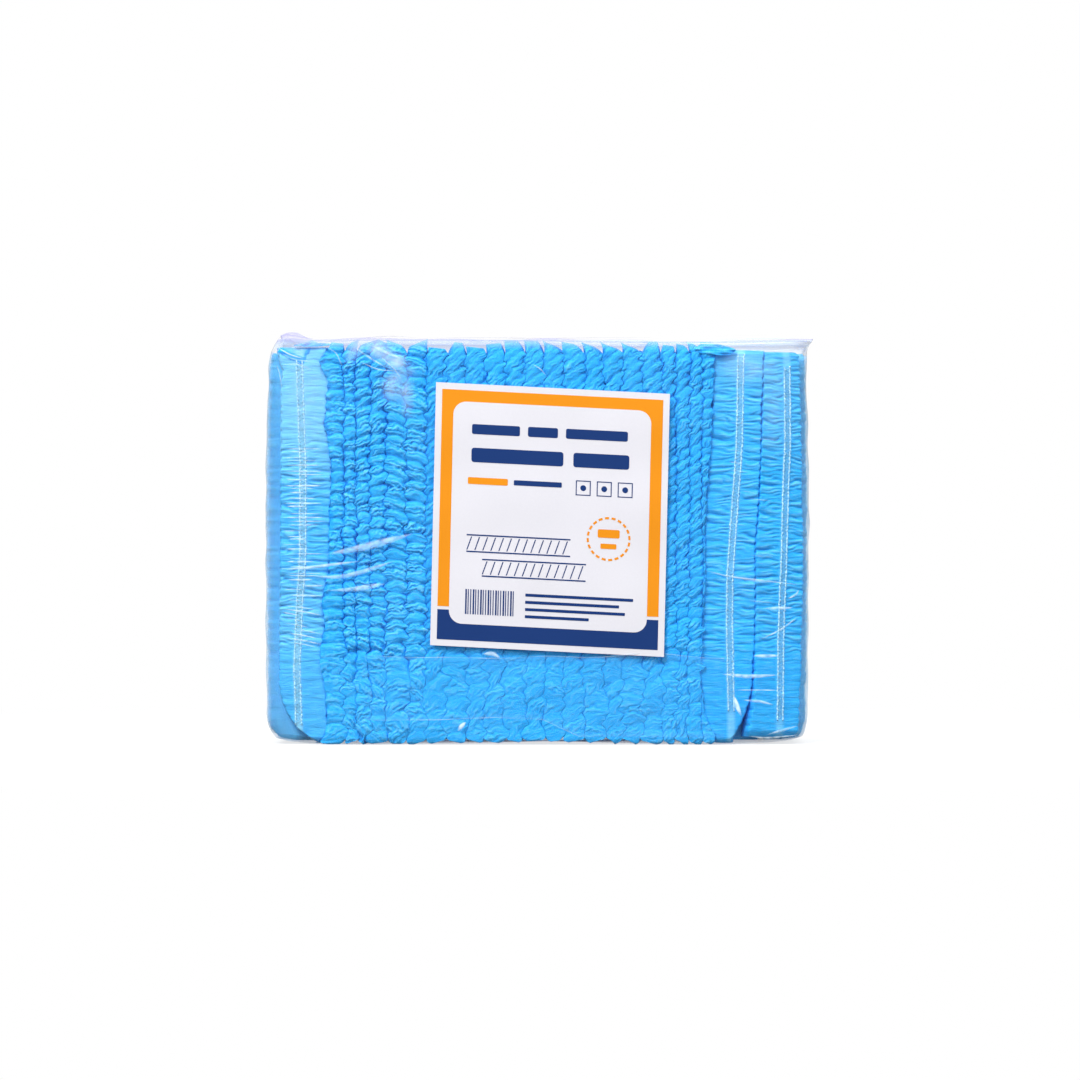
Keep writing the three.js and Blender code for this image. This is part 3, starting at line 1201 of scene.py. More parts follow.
        # The foot rounds in to a blunt end, and the free end narrows to its tip while it leans over.
        middle = (column.left + column.right) / 2
        foot_round = 0.45 + 0.55 * pillow(rows - column.foot, self.foot_radius)[:, None]
        lines, walls = [], []
        heights = np.minimum(rows, column.shoulder)
        for side, sign, edge in ((0, -1, column.left), (1, 1, column.right)):
            line = self.border(number + side, heights)[:, None] - sign * self.clearance
            line = middle + (line - middle) * foot_round
            line = line + (middle + sign * tip.width / 2 - line) * rise**0.65 + tip.lean * rise
            wall = np.full(len(rows), edge + sign * self.wall_overlap)[:, None] * (1 - rise) + line * rise
            lines.append(line)
            walls.append(middle + (wall - middle) * foot_round)
        left, right = lines

        share = 0.5 - 0.5 * np.cos(np.linspace(0, math.pi, self.points_across))
        share = (0.45 * share + 0.55 * np.linspace(0, 1, self.points_across))[None, :]
        across = left + (right - left) * share
        up = rows[:, None] + rise**2 * tip.slant * (share - 0.5)
        fall = np.clip(1 - (rows - column.foot) / self.foot_slant_height, 0, 1)[:, None]
        up = np.maximum(up + fall**2 * column.foot_slant * (share - 0.5), self.floor_gap)
        drop, crease_shade, pattern = self.relief(number, across, up, 1 - rise)
        out = self.reach(across, up) - np.maximum(drop, 0)
        crease_shade = np.clip(crease_shade + self.foot_shade * smooth(30.0, 14.0, up), 0, 1)

        # Ring: the pleated face from left to right, then round the strip's hidden sides and back.
        out_left, out_right = out[:, :1], out[:, -1:]
        full = self.reach(across[:, :1], up[:, :1]) - self.inner
        thick = full * (1 - 0.72 * smooth(0.0, 1.0, rise))
        wall_left, wall_right = walls
        beside = [right * 0.6 + wall_right * 0.4, wall_right, wall_left, left * 0.6 + wall_left * 0.4]
        deep_right, deep_left = out_right - thick + self.wall_slope, out_left - thick + self.wall_slope
        behind = [out_right - 0.3 * thick, deep_right, deep_left, out_left - 0.3 * thick]
        ring_out = np.concatenate([out, *behind], 1)
        ring_up = np.concatenate([up, up[:, [-1, -1, 0, 0]]], 1)
        rings = self.facing.place(np.concatenate([across, *beside], 1), ring_out, ring_up)
        # The hidden sides take painted shade, and so does the end point at the foot.
        deep = np.full((len(rows), 4), self.wall_shade)
        paint = {"crease_shade": (np.concatenate([crease_shade, deep], 1), 1.0, 0.5), "tone_and_light": (tone_and_light, tone_and_light, tone_and_light)}
        hidden_pattern = np.stack([ring_out[:, -4:], ring_up[:, -4:]], -1)
        into.add_loft(rings, paint, np.concatenate([pattern, hidden_pattern], 1))

    def pieces(self, nodes: Sequence[str], cloth: Material) -> list[Piece]:
        """Makes one piece for each strip.

        Args:
            nodes: the solids that the strips stand for, from left to right.
            cloth: what the strips are made of.

        Returns:
            The pieces.
        """
        made = []
        for number, node in enumerate(nodes):
            mesh = PieceMesh()
            self.mesh(number, mesh)
            made.append(fit_to_frame(mesh.build(strip_name(node), [cloth]), "cap_fabric", node))
        return made


def strip_name(node: str) -> str:
    """The name of the piece that stands for a solid cap."""
    return node.replace("cap_", "strip_")


def row_columns(
    edges: Sequence[float],
    foot: float,
    shoulder: float,
    top: float,
    styles: Sequence[PleatStyle],
    rng: np.random.Generator,
    lean: float = -0.6,
) -> list[Column]:
    """Strips between neighbouring edges, each with its own foot, shoulder and free end.

    Args:
        edges: the borders between the strips, from left to right.
        foot: the lowest foot.
        shoulder: the middle height where the pleats end.
        top: the middle height of the free ends.
        styles: the strips' pleats, used in turn.
        rng: draws what varies.
        lean: which way and how far the free ends lean, in strip widths.

    Returns:
        The columns, from left to right.
    """
    columns = []
    for number, (left, right) in enumerate(zip(edges, edges[1:])):
        width = right - left
        tip = Tip(
            height=top + rng.uniform(-1.8, 0.9),
            lean=width * (lean + rng.uniform(-0.15, 0.15)),
            width=width * rng.uniform(0.35, 0.62),
            slant=rng.uniform(-3.4, -0.4) * np.sign(-lean),
        )
        low = foot + rng.uniform(0.0, 1.4)
        style = styles[number % len(styles)]
        columns.append(Column(left, right, low, shoulder + rng.uniform(-1.2, 0.6), style, tip))
    return columns


def node_box(node: str) -> tuple[Array, Array]:
    """The lowest and highest corners of a solid, in millimetres."""
    low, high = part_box(node)
    return np.array(low) / MM, np.array(high) / MM


def node_places(node: str) -> Array:
    """The corners of a solid's mesh, in millimetres."""
    return np.array([corner.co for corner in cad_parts[node].data.vertices]) / MM


def numbered(prefix: str) -> list[str]:
    """The solids whose names are this prefix and a number, in order."""
    return sorted(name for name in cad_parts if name.startswith(prefix) and name[-1].isdigit())


@dataclass(frozen=True)
class Seam:
    """A line drawn in steps of two numbers, such as where two parts meet: heights, and X at each."""

    way: tuple[tuple[float, float], ...]

    def __call__(self, place: Array | float) -> Array:
        """The second number where the first is place, straight between the steps."""
        first, second = np.array(self.way).T
        return np.interp(place, first, second)


# Where the left flat strip meets the row of strips on edge: heights, and X at each.
LEFT_SEAM = Seam(
    (
        (0.0, -110.6), (4.0, -107.6), (8.0, -106.2), (20.0, -106.2), (30.0, -107.4), (39.0, -109.2),
        (45.0, -109.4), (52.0, -108.6), (61.0, -107.2), (70.0, -108.5), (78.0, -107.3), (86.0, -105.5),
        (97.0, -105.0), (112.0, -105.0), (125.0, -104.2), (142.0, -104.0), (152.0, -105.4), (160.0, -107.8),
        (167.0, -106.6), (174.0, -106.8), (181.5, -105.3), (187.0, -108.4), (192.0, -109.6), (196.0, -107.4),
        (199.0, -104.9),
    )
)
# Where the row meets the inner right flat strip, and that one meets the outer.
RIGHT_SEAM = Seam(
    (
        (0.0, 89.4), (5.0, 88.0), (10.0, 85.6), (16.0, 82.6), (24.0, 82.6), (34.0, 80.4), (48.0, 80.8),
        (60.0, 82.2), (80.0, 83.4), (112.0, 83.4), (138.0, 85.4), (160.0, 87.0), (196.0, 88.0),
    )
)
OUTER_SEAM = Seam(
    (
        (0.0, 104.0), (16.0, 106.5), (34.0, 108.2), (66.0, 108.8), (99.0, 108.9), (112.0, 110.1),
        (138.0, 111.3), (150.0, 111.6), (165.0, 112.0), (197.0, 113.2),
    )
)


@dataclass
class FrontRow:
    """The strips on edge that the pack shows in front."""

    bag: BagForm
    cloth: Material
    prefix: str = "cap_front_"
    seed: int = 11
    foot: float = 0.4
    shoulder: float = 196.3
    top: float = 202.6
    label_margin: float = 5.0
    teeth_from: float = 35.0
    front_edge: float = 203.0
    highest_tip: float = 202.8
    tip_breadth: float = 1.2
    film_gap: float = 0.4
    # Each free end from left to right: its height, lean, width and slant, all but the height in strip widths.
    tips: tuple[tuple[float, float, float, float], ...] = (
        (201.2, 0.05, 0.70, -0.10), (202.8, 0.45, 0.50, 0.25), (204.2, 0.55, 0.85, 0.30),
        (203.4, 0.40, 0.60, -0.35), (201.8, -0.10, 0.60, -0.30), (202.8, 0.10, 0.70, 0.35),
        (198.6, 0.00, 0.70, -0.10), (201.4, 0.12, 0.34, -0.05), (198.9, -0.05, 0.75, -0.10),
        (200.8, -0.12, 0.62, 0.08), (203.5, -0.22, 0.58, -0.05), (203.0, -0.20, 0.60, -0.05),
        (203.0, -0.52, 0.12, -0.12), (201.2, -0.30, 0.55, -0.15), (201.8, -0.60, 0.10, -0.10),
        (202.6, -0.55, 0.20, -0.22), (202.2, -0.52, 0.16, -0.20), (202.0, 0.05, 0.36, 0.00),
        (199.9, -0.05, 0.60, -0.10), (200.4, -0.20, 0.45, -0.10), (201.2, -0.45, 0.50, -0.25),
        (201.6, -0.10, 1.10, -0.10),
    )

    def build(self) -> list[Piece]:
        """Makes one piece for each strip.

        Returns:
            The pieces, from left to right seen from outside.
        """
        nodes = numbered(self.prefix)
        boxes = [node_box(node) for node in nodes]
        edges = [box[0][0] for box in boxes] + [boxes[-1][1][0]]
        crest, inner = -boxes[0][0][1], -boxes[0][1][1]
        rng = np.random.default_rng(self.seed)
        style = PleatStyle
        styles = [style.CHAIN, style.LINKED, style.RISING, style.RISING, style.FALLING, style.LEVEL]
        styles += [style.BRAID] * (len(nodes) - 10) + [style.STEEP] * 4
        columns = row_columns(edges, self.foot, self.shoulder, self.top, styles, rng)
        for number, (height, lean, width, slant) in enumerate(self.tips[: len(columns)]):
            span = edges[number + 1] - edges[number]
            middle = (edges[number] + edges[number + 1]) / 2
            room = float(self.bag.sag_at(middle, height)) + 0.4 * abs(slant) * span
            top = min(height, self.highest_tip - room)
            tip = Tip(top, lean * span, width * span * self.tip_breadth, slant * span)
            foot = float(self.bag.foot_at(middle)) + rng.uniform(0.0, 0.9)
            # The feet to the right stand slanted, like teeth.
            slants = (-0.42, -0.15) if middle > self.teeth_from else (-0.25, 0.25)
            foot_slant = span * rng.uniform(*slants)
            columns[number] = replace(columns[number], tip=tip, foot=foot, foot_slant=foot_slant)

        def reach(across: Array, up: Array) -> Array:
            """How far out the row's face lies, close behind the film.

            Args:
                across: places across the wall.
                up: heights.

            Returns:
                The distance outwards at each place.
            """
            under = np.minimum(up, self.front_edge)
            inset = self.bag.half_depth - self.bag.middle_y - crest
            return self.bag.front_out(across, under) - inset + self.film_gap

        low, high = node_box("label")
        margin = self.label_margin
        wall = StripWall(
            Facing.FRONT,
            columns,
            reach,
            inner,
            self.seed,
            points_across=21,
            row_height=0.44,
            wall_shade=0.62,
            hidden=(low[0] + margin, high[0] - margin, low[2] + margin + 3.0, high[2] - margin - 7.0),
            seams=(LEFT_SEAM, RIGHT_SEAM),
        )
        return wall.pieces(nodes, self.cloth)


# ---------------------------------------------------------------------------------------------------------
# Strips that lie flat, and their elastic
# ---------------------------------------------------------------------------------------------------------


@dataclass
class ElasticRoute:
    """Where the elastic runs down a flat strip, read from its solid band."""

    node: str

    def __post_init__(self) -> None:
        """Reads the band's middle at each height that it has corners."""
        places = node_places(self.node)
        self.up = np.unique(places[:, 2].round(2))
        rows = [places[np.abs(places[:, 2] - up) < 0.05] for up in self.up]
        self.x = np.array([row[:, 0].mean() for row in rows])

    def at(self, up: Array) -> Array:
        """The band's middle in X at each height."""
        return np.interp(up, self.up, self.x)


@dataclass
class FlatStrip:
    """A strip that lies flat: cross pleats over its broad face, gathered fine along its elastic.

    The strip is drawn from its near edge: "across" runs over its face and "out" stands up from it. The
    origin and the heading place it in the pack.
    """

    bag: BagForm
    origin: tuple[float, float]
    heading: tuple[float, float]
    width: float
    thickness: float
    foot: float
    top: float
    seed: int
    middle: Callable[[Array], Array]
    paleness: Callable[[Array, Array], Array]
    fold_shade: Callable[[Array, Array], Array] | None = None
    edges: Callable[[Array], tuple[Array, Array]] | None = None
    edge_shade: Seam | None = None
    sink: float = 0.7
    band_tone: float = 0.85
    band_width: float = 2.0
    pleat: float = 4.6
    gather: float = 2.1
    pleat_height: float = 1.2
    gather_height: float = 0.95
    points_across: int = 36
    row_height: float = 0.48
    smooth_below: float = 48.0
    smooth_above: float = 250.0
    hidden_shade: float = 0.6
    # How far round to its hidden face each point beside the strip's face lies.
    side_steps: tuple[float, ...] = (0.2, 0.45, 0.75, 1.0)

    def __post_init__(self) -> None:
        """Makes the seeded noise that bends and varies the pleats."""
        self.bend = Ripple(self.seed, 13.0)
        self.vary = Ripple(self.seed + 1, 9.0)
        self.swell = Ripple(self.seed + 2, 42.0)
        self.fray = Ripple(self.seed + 3, 5.0)

    def place(self, across: Array, out: Array, up: Array) -> Array:
        """Turns places on the strip to the frame's X, Y and Z.

        Args:
            across: how far over its face they lie, from its near edge.
            out: how far in front of its face.
            up: how high.

        Returns:
            The places, with X, Y and Z last.
        """
        step_x, step_y = self.heading
        x = self.origin[0] + across * step_x + out * step_y
        y = self.origin[1] + across * step_y - out * step_x
        return np.stack(np.broadcast_arrays(x, y, up), -1)

    def sides(self, up: Array) -> tuple[Array, Array]:
        """Where the strip's two edges lie across it at each height."""
        return self.edges(up) if self.edges else (0.0 * up, self.width + 0.0 * up)

    def relief(self, across: Array, up: Array) -> tuple[Array, Array]:
        """The face's height and its painted crease shade.

        Args:
            across: places over the face.
            up: their heights.

        Returns:
            How far out the face stands, at most 0, and the painted crease shade from 0 to 1.
        """
        side = across - self.middle(up)
        far = np.abs(side)
        calm = 1 - 0.8 * smooth(self.smooth_below + 6, self.smooth_below - 10, up)
        calm = calm * (1 - 0.72 * smooth(self.smooth_above - 14, self.smooth_above + 12, up))
        turn = up / self.pleat + 0.16 * self.bend(across * 0.5, up) + 0.02 * side * np.sign(side + 20)
        big = np.abs(np.sin(math.pi * turn)) ** 0.62
        turn = up / self.gather + 0.30 * self.bend(across * 0.6 + 40, up * 1.4) + 0.25 * self.vary(up, across)
        fine = np.abs(np.sin(math.pi * turn)) ** 0.7
        big_share = smooth(1.6, 8.5, far) * (0.75 + 0.35 * self.vary(across * 0.3, up)) * calm
        fine_share = smooth(0.8, 3.5, far) * np.exp(-((far / 11.0) ** 3)) * calm
        fine_share = fine_share * (0.75 + 0.35 * self.vary(across * 0.6 + 50, up * 1.5))
        left, right = self.sides(up)
        edge = np.minimum(across - left, right - across)
        height = -self.pleat_height * big_share * (1 - big) - self.gather_height * fine_share * (1 - fine)
        rounding = 1 - pillow(edge + 0.25, 2.0)
        height = height - rounding - 0.4 * (1 - self.swell(across * 0.6, up)) * 0.5
        height = height - 0.10 * self.fray(across * 0.25, up)
        # Painted shade in the hollows of the pleats and gathers and along the rounded edges, and painted
        # highlight on their ridges; a line of painted shade runs down the left edge where one is given.
        crease_shade = big_share * (0.55 - big) * 0.55 + fine_share * (0.55 - fine) * 0.75
        crease_shade = 0.5 + crease_shade + 0.15 * (1 - pillow(edge + 0.2, 2.0))
        if self.edge_shade:
            ragged = np.clip(0.8 + 0.5 * self.fray(up, across), 0, 1.3)
            crease_shade = crease_shade + self.edge_shade(up) * ragged * (1 - pillow(across - left, 1.3))
        return height - self.bag.at(up, "face_inset") * self.sink, np.clip(crease_shade, 0, 1)

    def mesh(self, into: PieceMesh) -> None:
        """Adds the strip as a closed loft, its pleats' ends scalloped along both edges.

        Args:
            into: the mesh that it is added to.
        """
        rows = np.arange(self.foot, self.top, self.row_height)
        share = np.linspace(0, 1, self.points_across)
        share = 0.3 * (0.5 - 0.5 * np.cos(share * math.pi)) + 0.7 * share
        up = np.broadcast_to(rows[:, None], (len(rows), self.points_across))
        turn = rows / self.pleat + 0.16 * self.bend(np.zeros(len(rows)), rows)
        scallop = 1 - np.abs(np.sin(math.pi * turn)) ** 0.6
        foot_round = np.clip((rows - self.foot) / 3.0, 0.04, 1)
        end_round = np.sqrt(foot_round * np.clip((self.top - rows) / 2.2, 0.04, 1))
        inset = (0.9 * scallop + 3.0 * (1 - end_round) + 0.5 * (1 + self.fray(rows * 0.2)) * 0.5)[:, None]
        left, right = (edge[:, None] for edge in self.sides(rows))
        across = left + inset + (right - left - 2 * inset) * share[None, :]
        out, crease_shade = self.relief(across, up)
        out = out - 2.5 * (1 - end_round)[:, None]
        beside, behind = [], []
        lip = inset * 0.6 + 0.8 * scallop[:, None] * 0.4
        steps = self.side_steps
        for sign, edge, rim, backs in ((1, right, out[:, -1:], steps), (-1, left, out[:, :1], steps[::-1])):
            for back in backs:
                spill = 0.5 * smooth(0.1, 0.4, back)
                beside.append(edge - sign * (lip * (1 - back)) + sign * spill)
                behind.append(rim * (1 - back) - self.thickness * back)
        ring_across = np.concatenate([across, *beside], 1)
        ring_out = np.concatenate([out, *behind], 1)
        ring_up = np.broadcast_to(rows[:, None], ring_across.shape)
        # The elastic's band is pale and calm, save where a folded corner lies over it.
        # A folded corner over the strip takes painted shade.
        deep = self.fold_shade(across, up) if self.fold_shade else 0.0 * up
        band = np.exp(-(((across - self.middle(up)) / self.band_width) ** 4)) * (deep <= 0)
        crease_shade = np.clip(crease_shade * (1 - 0.55 * band) + 0.15 * band + deep, 0, 1)
        pale = self.paleness(across, up)
        tone_and_light = np.clip(pale + self.band_tone * band, 0, 1)
        # The hidden sides take painted shade, and so does the end point at the foot.
        hidden = np.full((len(rows), len(beside)), self.hidden_shade)
        paint = {
            "crease_shade": (np.concatenate([crease_shade, hidden], 1), 1.0, 0.5),
            "tone_and_light": (np.concatenate([tone_and_light, np.repeat(pale[:, :1], len(beside), 1)], 1), 0.0, 0.0),
        }
        into.add_loft(self.place(ring_across, ring_out, ring_up), paint, np.stack([ring_across, ring_up], -1))


@dataclass(frozen=True)
class Elastic:
    """Two covered threads stitched down a strip's middle by a zigzag yarn."""

    spread: float = 1.42
    thread: float = 0.40
    yarn: float = 0.13
    stitch: float = 1.9
    step: float = 0.55

    def mesh(self, strip: FlatStrip, low: float, high: float, into: PieceMesh) -> None:
        """Adds both threads and the zigzag between them.

        Args:
            strip: the strip that the elastic runs over.
            low: the height where it ends.
            high: the height where it starts.
            into: the mesh that it is added to.
        """
        up = np.arange(low, high, self.step)
        rng = np.random.default_rng(strip.seed + 9)
        for side in (-1, 1):
            across = strip.middle(up) + side * self.spread + 0.12 * rng.standard_normal(len(up))
            height, _ = strip.relief(across, up)
            gathered = 0.5 + 0.5 * np.sin(2 * math.pi * up / strip.gather + side)
            out = height + 0.12 + 0.16 * gathered
            tube(strip.place(across, out, up), self.thread * (0.8 + 0.3 * gathered), 6, into)
        knots = np.arange(low + 1, high - 1, self.stitch / 2)
        side = np.where(np.arange(len(knots)) % 2, 1, -1)
        across = strip.middle(knots) + side * (self.spread - 0.2) + 0.2 * rng.standard_normal(len(knots))
        height, _ = strip.relief(across, knots)
        tube(strip.place(across, height + 0.3, knots), np.full(len(knots), self.yarn), 4, into)

    def piece(self, name: str, strip: FlatStrip, low: float, high: float, yarn: Material) -> Piece:
        """Makes the threads as a piece of their own.

        Args:
            name: the piece's name.
            strip: the strip that the elastic runs over.
            low: the height where it ends.
            high: the height where it starts.
            yarn: what it is made of.

        Returns:
            The piece.
        """
        threads = PieceMesh()
        self.mesh(strip, low, high, threads)
        return threads.build(name, [yarn])


def tube(
    line: Array,
    radius: Array,
    sides: int,
    into: PieceMesh,
    paint: dict[str, tuple[Array | float, float, float]] | None = None,
) -> None:
    """Adds a closed tube along a line of points.

    Args:
        line: N by 3 points in mm.
        radius: the tube's radius at each.
        sides: how many sides it has.
        into: the mesh that it is added to.
        paint: its painted values, or none for the cloth's "fold" and "tone" at 0.
    """
    ahead = np.gradient(line, axis=0)
    ahead /= np.linalg.norm(ahead, axis=1, keepdims=True)
    beside = np.cross(ahead, [0.0, -1.0, 0.0])
    beside /= np.maximum(np.linalg.norm(beside, axis=1, keepdims=True), 1e-6)
    above = np.cross(beside, ahead)
    angle = np.arange(sides) * 2 * math.pi / sides
    spokes = beside[:, None] * np.cos(angle)[None, :, None] + above[:, None] * np.sin(angle)[None, :, None]
    rings = line[:, None] + spokes * radius[:, None, None]
    into.add_loft(rings, paint or {"crease_shade": NO_PAINT, "tone_and_light": NO_PAINT}, ends=line[[0, -1]], inward=True)


@dataclass(frozen=True)
class LooseEnd:
    """A crumpled corner of cloth over a flat strip's top: X, and its lower and upper edge there."""

    way: tuple[tuple[float, float, float], ...]
    behind: float
    tilt: float
    seed: int
    thickness: float = 0.5
    columns: int = 44
    rows: int = 13

    def mesh(self, bag: BagForm, into: PieceMesh) -> None:
        """Adds it as a closed loft of rings from left to right.

        Args:
            bag: the bag, behind whose front it lies.
            into: the mesh that it is added to.
        """
        places, lower, upper = np.array(self.way).T
        x = np.linspace(places[0], places[-1], self.columns)[:, None]
        low, high = np.interp(x, places, lower), np.interp(x, places, upper)
        up = low + (high - low) * np.linspace(1, 0, self.rows)[None, :]
        wide = np.broadcast_to(x, up.shape)
        lie = math.radians(self.tilt)
        over = up * math.cos(lie) - wide * math.sin(lie)
        crumple = Ripple(self.seed, 2.2, 3.0)(wide * math.cos(lie) + up * math.sin(lie), over)
        out = bag.front_out(wide, up) - self.behind - 0.45 * (1 - crumple)
        ring_out = np.concatenate([out, out[:, ::-1] - self.thickness], 1)
        ring_up = np.concatenate([up, up[:, ::-1]], 1)
        ring_wide = np.concatenate([wide, wide], 1)
        # Painted shade in the crumples' hollows and painted highlight on their ridges.
        crease_shade = np.clip(0.5 - 0.32 * np.concatenate([crumple, crumple[:, ::-1]], 1), 0, 1)
        rings = Facing.FRONT.place(ring_wide, ring_out, ring_up)
        paint = {"crease_shade": (crease_shade, 0.5, 0.5), "tone_and_light": NO_PAINT}
        into.add_loft(rings, paint, np.stack([ring_up, ring_wide], -1))


@dataclass(frozen=True)
class FlatLook:
    """How one flat strip lies: its turn in degrees, its edges, and how pale it is painted at each height.

    Its edges may lap over its neighbours, its elastic strays a little from the solid band, and a line of
    painted shade may run down its left edge. Its top left corner may be folded over along a line, whose
    steps are X and the height there: over that the cloth takes painted shade, most along the folded line,
    then is pale again. A crumpled corner may lie over its top.
    """

    name: str
    turn: float
    left: Seam
    right: Seam
    lap: tuple[float, float]
    pale: Seam
    stray: Seam
    band_tone: float
    smooth_above: float
    top: float
    edge_shade: Seam | None = None
    folded: Seam | None = None
    loose_end: LooseEnd | None = None

    def paleness(self, x: Array, up: Array) -> Array:
        """How pale the cloth is painted at each place.

        Args:
            x: places along X.
            up: their heights.

        Returns:
            The paleness, from 0 to 1.
        """
        pale = self.pale(up)
        if self.folded is None:
            return pale
        over = up - self.folded(x)
        return np.where(over > 0, pale * 0.8 * smooth(3.4, 4.4, over), pale)

    def fold_shade(self, x: Array, up: Array) -> Array:
        """How much painted shade the folded corner takes at each place, most along the folded line.

        Args:
            x: places along X.
            up: their heights.

        Returns:
            What is added to the cloth's painted crease shade.
        """
        if self.folded is None:
            return 0.0 * up
        over = up - self.folded(x)
        return np.where(over > 0, 0.14 * smooth(4.0, 3.2, over) + 0.35 * smooth(1.0, 0.1, over), 0.0)


@dataclass(frozen=True)
class FlatCourse:
    """A flat strip's look, read across its face, which starts at X near and turns by an angle of this cos."""

    look: FlatLook
    route: ElasticRoute
    near: float
    cos: float

    def middle(self, up: Array) -> Array:
        """Where the elastic runs across the face at each height."""
        return (self.route.at(up) + self.look.stray(up) - self.near) / self.cos

    def edges(self, up: Array) -> tuple[Array, Array]:
        """Where the strip's two edges lie across the face at each height.

        Args:
            up: heights.

        Returns:
            The left edge and the right edge at each height.
        """
        left = self.look.left(up) - self.look.lap[0] - self.near
        right = self.look.right(up) + self.look.lap[1] - self.near
        return left / self.cos, right / self.cos

    def paleness(self, across: Array, up: Array) -> Array:
        """How pale the cloth is painted at each place on the face."""
        return self.look.paleness(self.near + across * self.cos, up)

    def fold_shade(self, across: Array, up: Array) -> Array:
        """How much painted shade it takes at each place on the face."""
        return self.look.fold_shade(self.near + across * self.cos, up)


LEFT_LOOK = FlatLook(
    name="left",
    turn=0.0,
    left=Seam(
        (
            (0.0, -109.5), (3.2, -114.5), (8.6, -121.5), (15.0, -126.0), (22.0, -129.0), (30.0, -130.2),
            (72.0, -130.0), (176.0, -129.2), (187.5, -128.4), (196.0, -131.0),
        )
    ),
    right=LEFT_SEAM,
    lap=(-0.15, 0.7),
    # This paleness is a painted reflection of the film over the strip, strongest towards its top.
    pale=Seam(
        (
            (0.0, 0.14), (45.0, 0.18), (56.0, 0.30), (75.0, 0.30), (85.0, 0.18), (95.0, 0.12), (125.0, 0.15),
            (140.0, 0.36), (155.0, 0.57), (200.0, 0.62),
        )
    ),
    stray=Seam(((0.0, -3.0), (200.0, -3.0))),
    band_tone=0.75,
    smooth_above=152.0,
    top=199.2,
    # A line of painted shade down the left edge, where it meets the side stack, and painted shade over the
    # folded corner.
    edge_shade=Seam(((10.0, 0.2), (30.0, 0.45), (120.0, 0.45), (145.0, 0.1), (160.0, 0.0))),
    folded=Seam(((-131.0, 196.8), (-124.0, 192.6), (-118.0, 190.0), (-113.5, 199.5), (-104.0, 201.0))),
    loose_end=LooseEnd(
        (
            (-122.5, 199.6, 200.3), (-118.0, 199.3, 201.2), (-113.5, 199.2, 202.7), (-110.5, 199.4, 201.3),
            (-105.5, 199.8, 201.0), (-103.0, 200.2, 200.6),
        ),
        behind=2.4,
        tilt=8.0,
        seed=211,
    ),
)
INNER_LOOK = FlatLook(
    name="right_inner",
    turn=0.0,
    left=RIGHT_SEAM,
    right=Seam(((3.0, 97.5), (12.0, 102.2), (20.0, 105.4), (34.0, 107.9), *OUTER_SEAM.way[3:])),
    lap=(0.7, -0.1),
    pale=Seam(((0.0, 0.0), (150.0, 0.02), (175.0, 0.10), (190.0, 0.22))),
    stray=Seam(((20.0, 0.8), (60.0, 1.1), (85.0, -0.2), (110.0, 0.3), (150.0, 1.6), (190.0, 0.8))),
    band_tone=0.5,
    smooth_above=185.0,
    top=198.0,
    loose_end=LooseEnd(
        (
            (78.4, 197.0, 198.4), (80.5, 195.8, 200.3), (86.5, 195.4, 201.0), (91.0, 194.8, 200.3),
            (96.0, 195.0, 198.9), (98.6, 197.2, 198.0),
        ),
        behind=0.5,
        tilt=-9.0,
        seed=223,
    ),
)
OUTER_LOOK = FlatLook(
    name="right_outer",
    turn=16.0,
    left=OUTER_SEAM,
    right=Seam(((0.0, 130.2), (20.0, 132.0), (70.0, 133.4), (110.0, 133.6), (160.0, 132.6), (196.0, 131.4))),
    lap=(-0.1, -0.15),
    pale=Seam(((0.0, 0.0), (140.0, 0.0), (165.0, 0.10), (185.0, 0.14))),
    stray=Seam(((20.0, 0.0), (190.0, 2.4))),
    band_tone=0.4,
    smooth_above=250.0,
    top=196.8,
)


@dataclass
class FlatStrips:
    """The three flat strips that the pack shows in front, each with its elastic."""

    bag: BagForm
    cloth: Material
    yarn: Material
    thickness: float = 9.6
    lower: float = 3.2
    elastic_past: float = 3.0
    elastic_short: float = 1.0
    seed: int = 400
    looks: tuple[FlatLook, ...] = (LEFT_LOOK, INNER_LOOK, OUTER_LOOK)

    def build(self) -> list[Piece]:
        """Makes a piece for each strip and one for its elastic.

        Returns:
            The pieces, each strip before its elastic.
        """
        pieces = []
        for number, look in enumerate(self.looks):
            low, high = node_box("cap_flat_" + look.name)
            cos, sin = math.cos(math.radians(look.turn)), math.sin(math.radians(look.turn))
            near = low[0] + self.thickness * sin
            route = ElasticRoute("elastic_" + look.name)
            course = FlatCourse(look, route, near, cos)
            strip = FlatStrip(
                bag=self.bag,
                origin=(near, low[1]),
                heading=(cos, sin),
                width=(high[0] - near) / cos,
                thickness=self.thickness,
                foot=low[2] - self.lower,
                top=look.top,
                seed=self.seed + 10 * number,
                middle=course.middle,
                paleness=course.paleness,
                fold_shade=course.fold_shade,
                edges=course.edges,
                edge_shade=look.edge_shade,
                band_tone=look.band_tone,
                smooth_above=look.smooth_above,
            )
            cloth = PieceMesh()
            strip.mesh(cloth)
            if look.loose_end:
                look.loose_end.mesh(self.bag, cloth)
            piece = cloth.build("strip_flat_" + look.name, [self.cloth])
            pieces.append(fit_to_frame(piece, "cap_fabric", "cap_flat_" + look.name))
            highest = min(route.up[-1] + self.elastic_past, look.top - self.elastic_short)
            piece = Elastic().piece("elastic_threads_" + look.name, strip, route.up[0], highest, self.yarn)
            pieces.append(fit_to_frame(piece, "elastic_thread", "elastic_" + look.name))
        return pieces


# ---------------------------------------------------------------------------------------------------------
# The back row, the side stacks and the strips between
# ---------------------------------------------------------------------------------------------------------


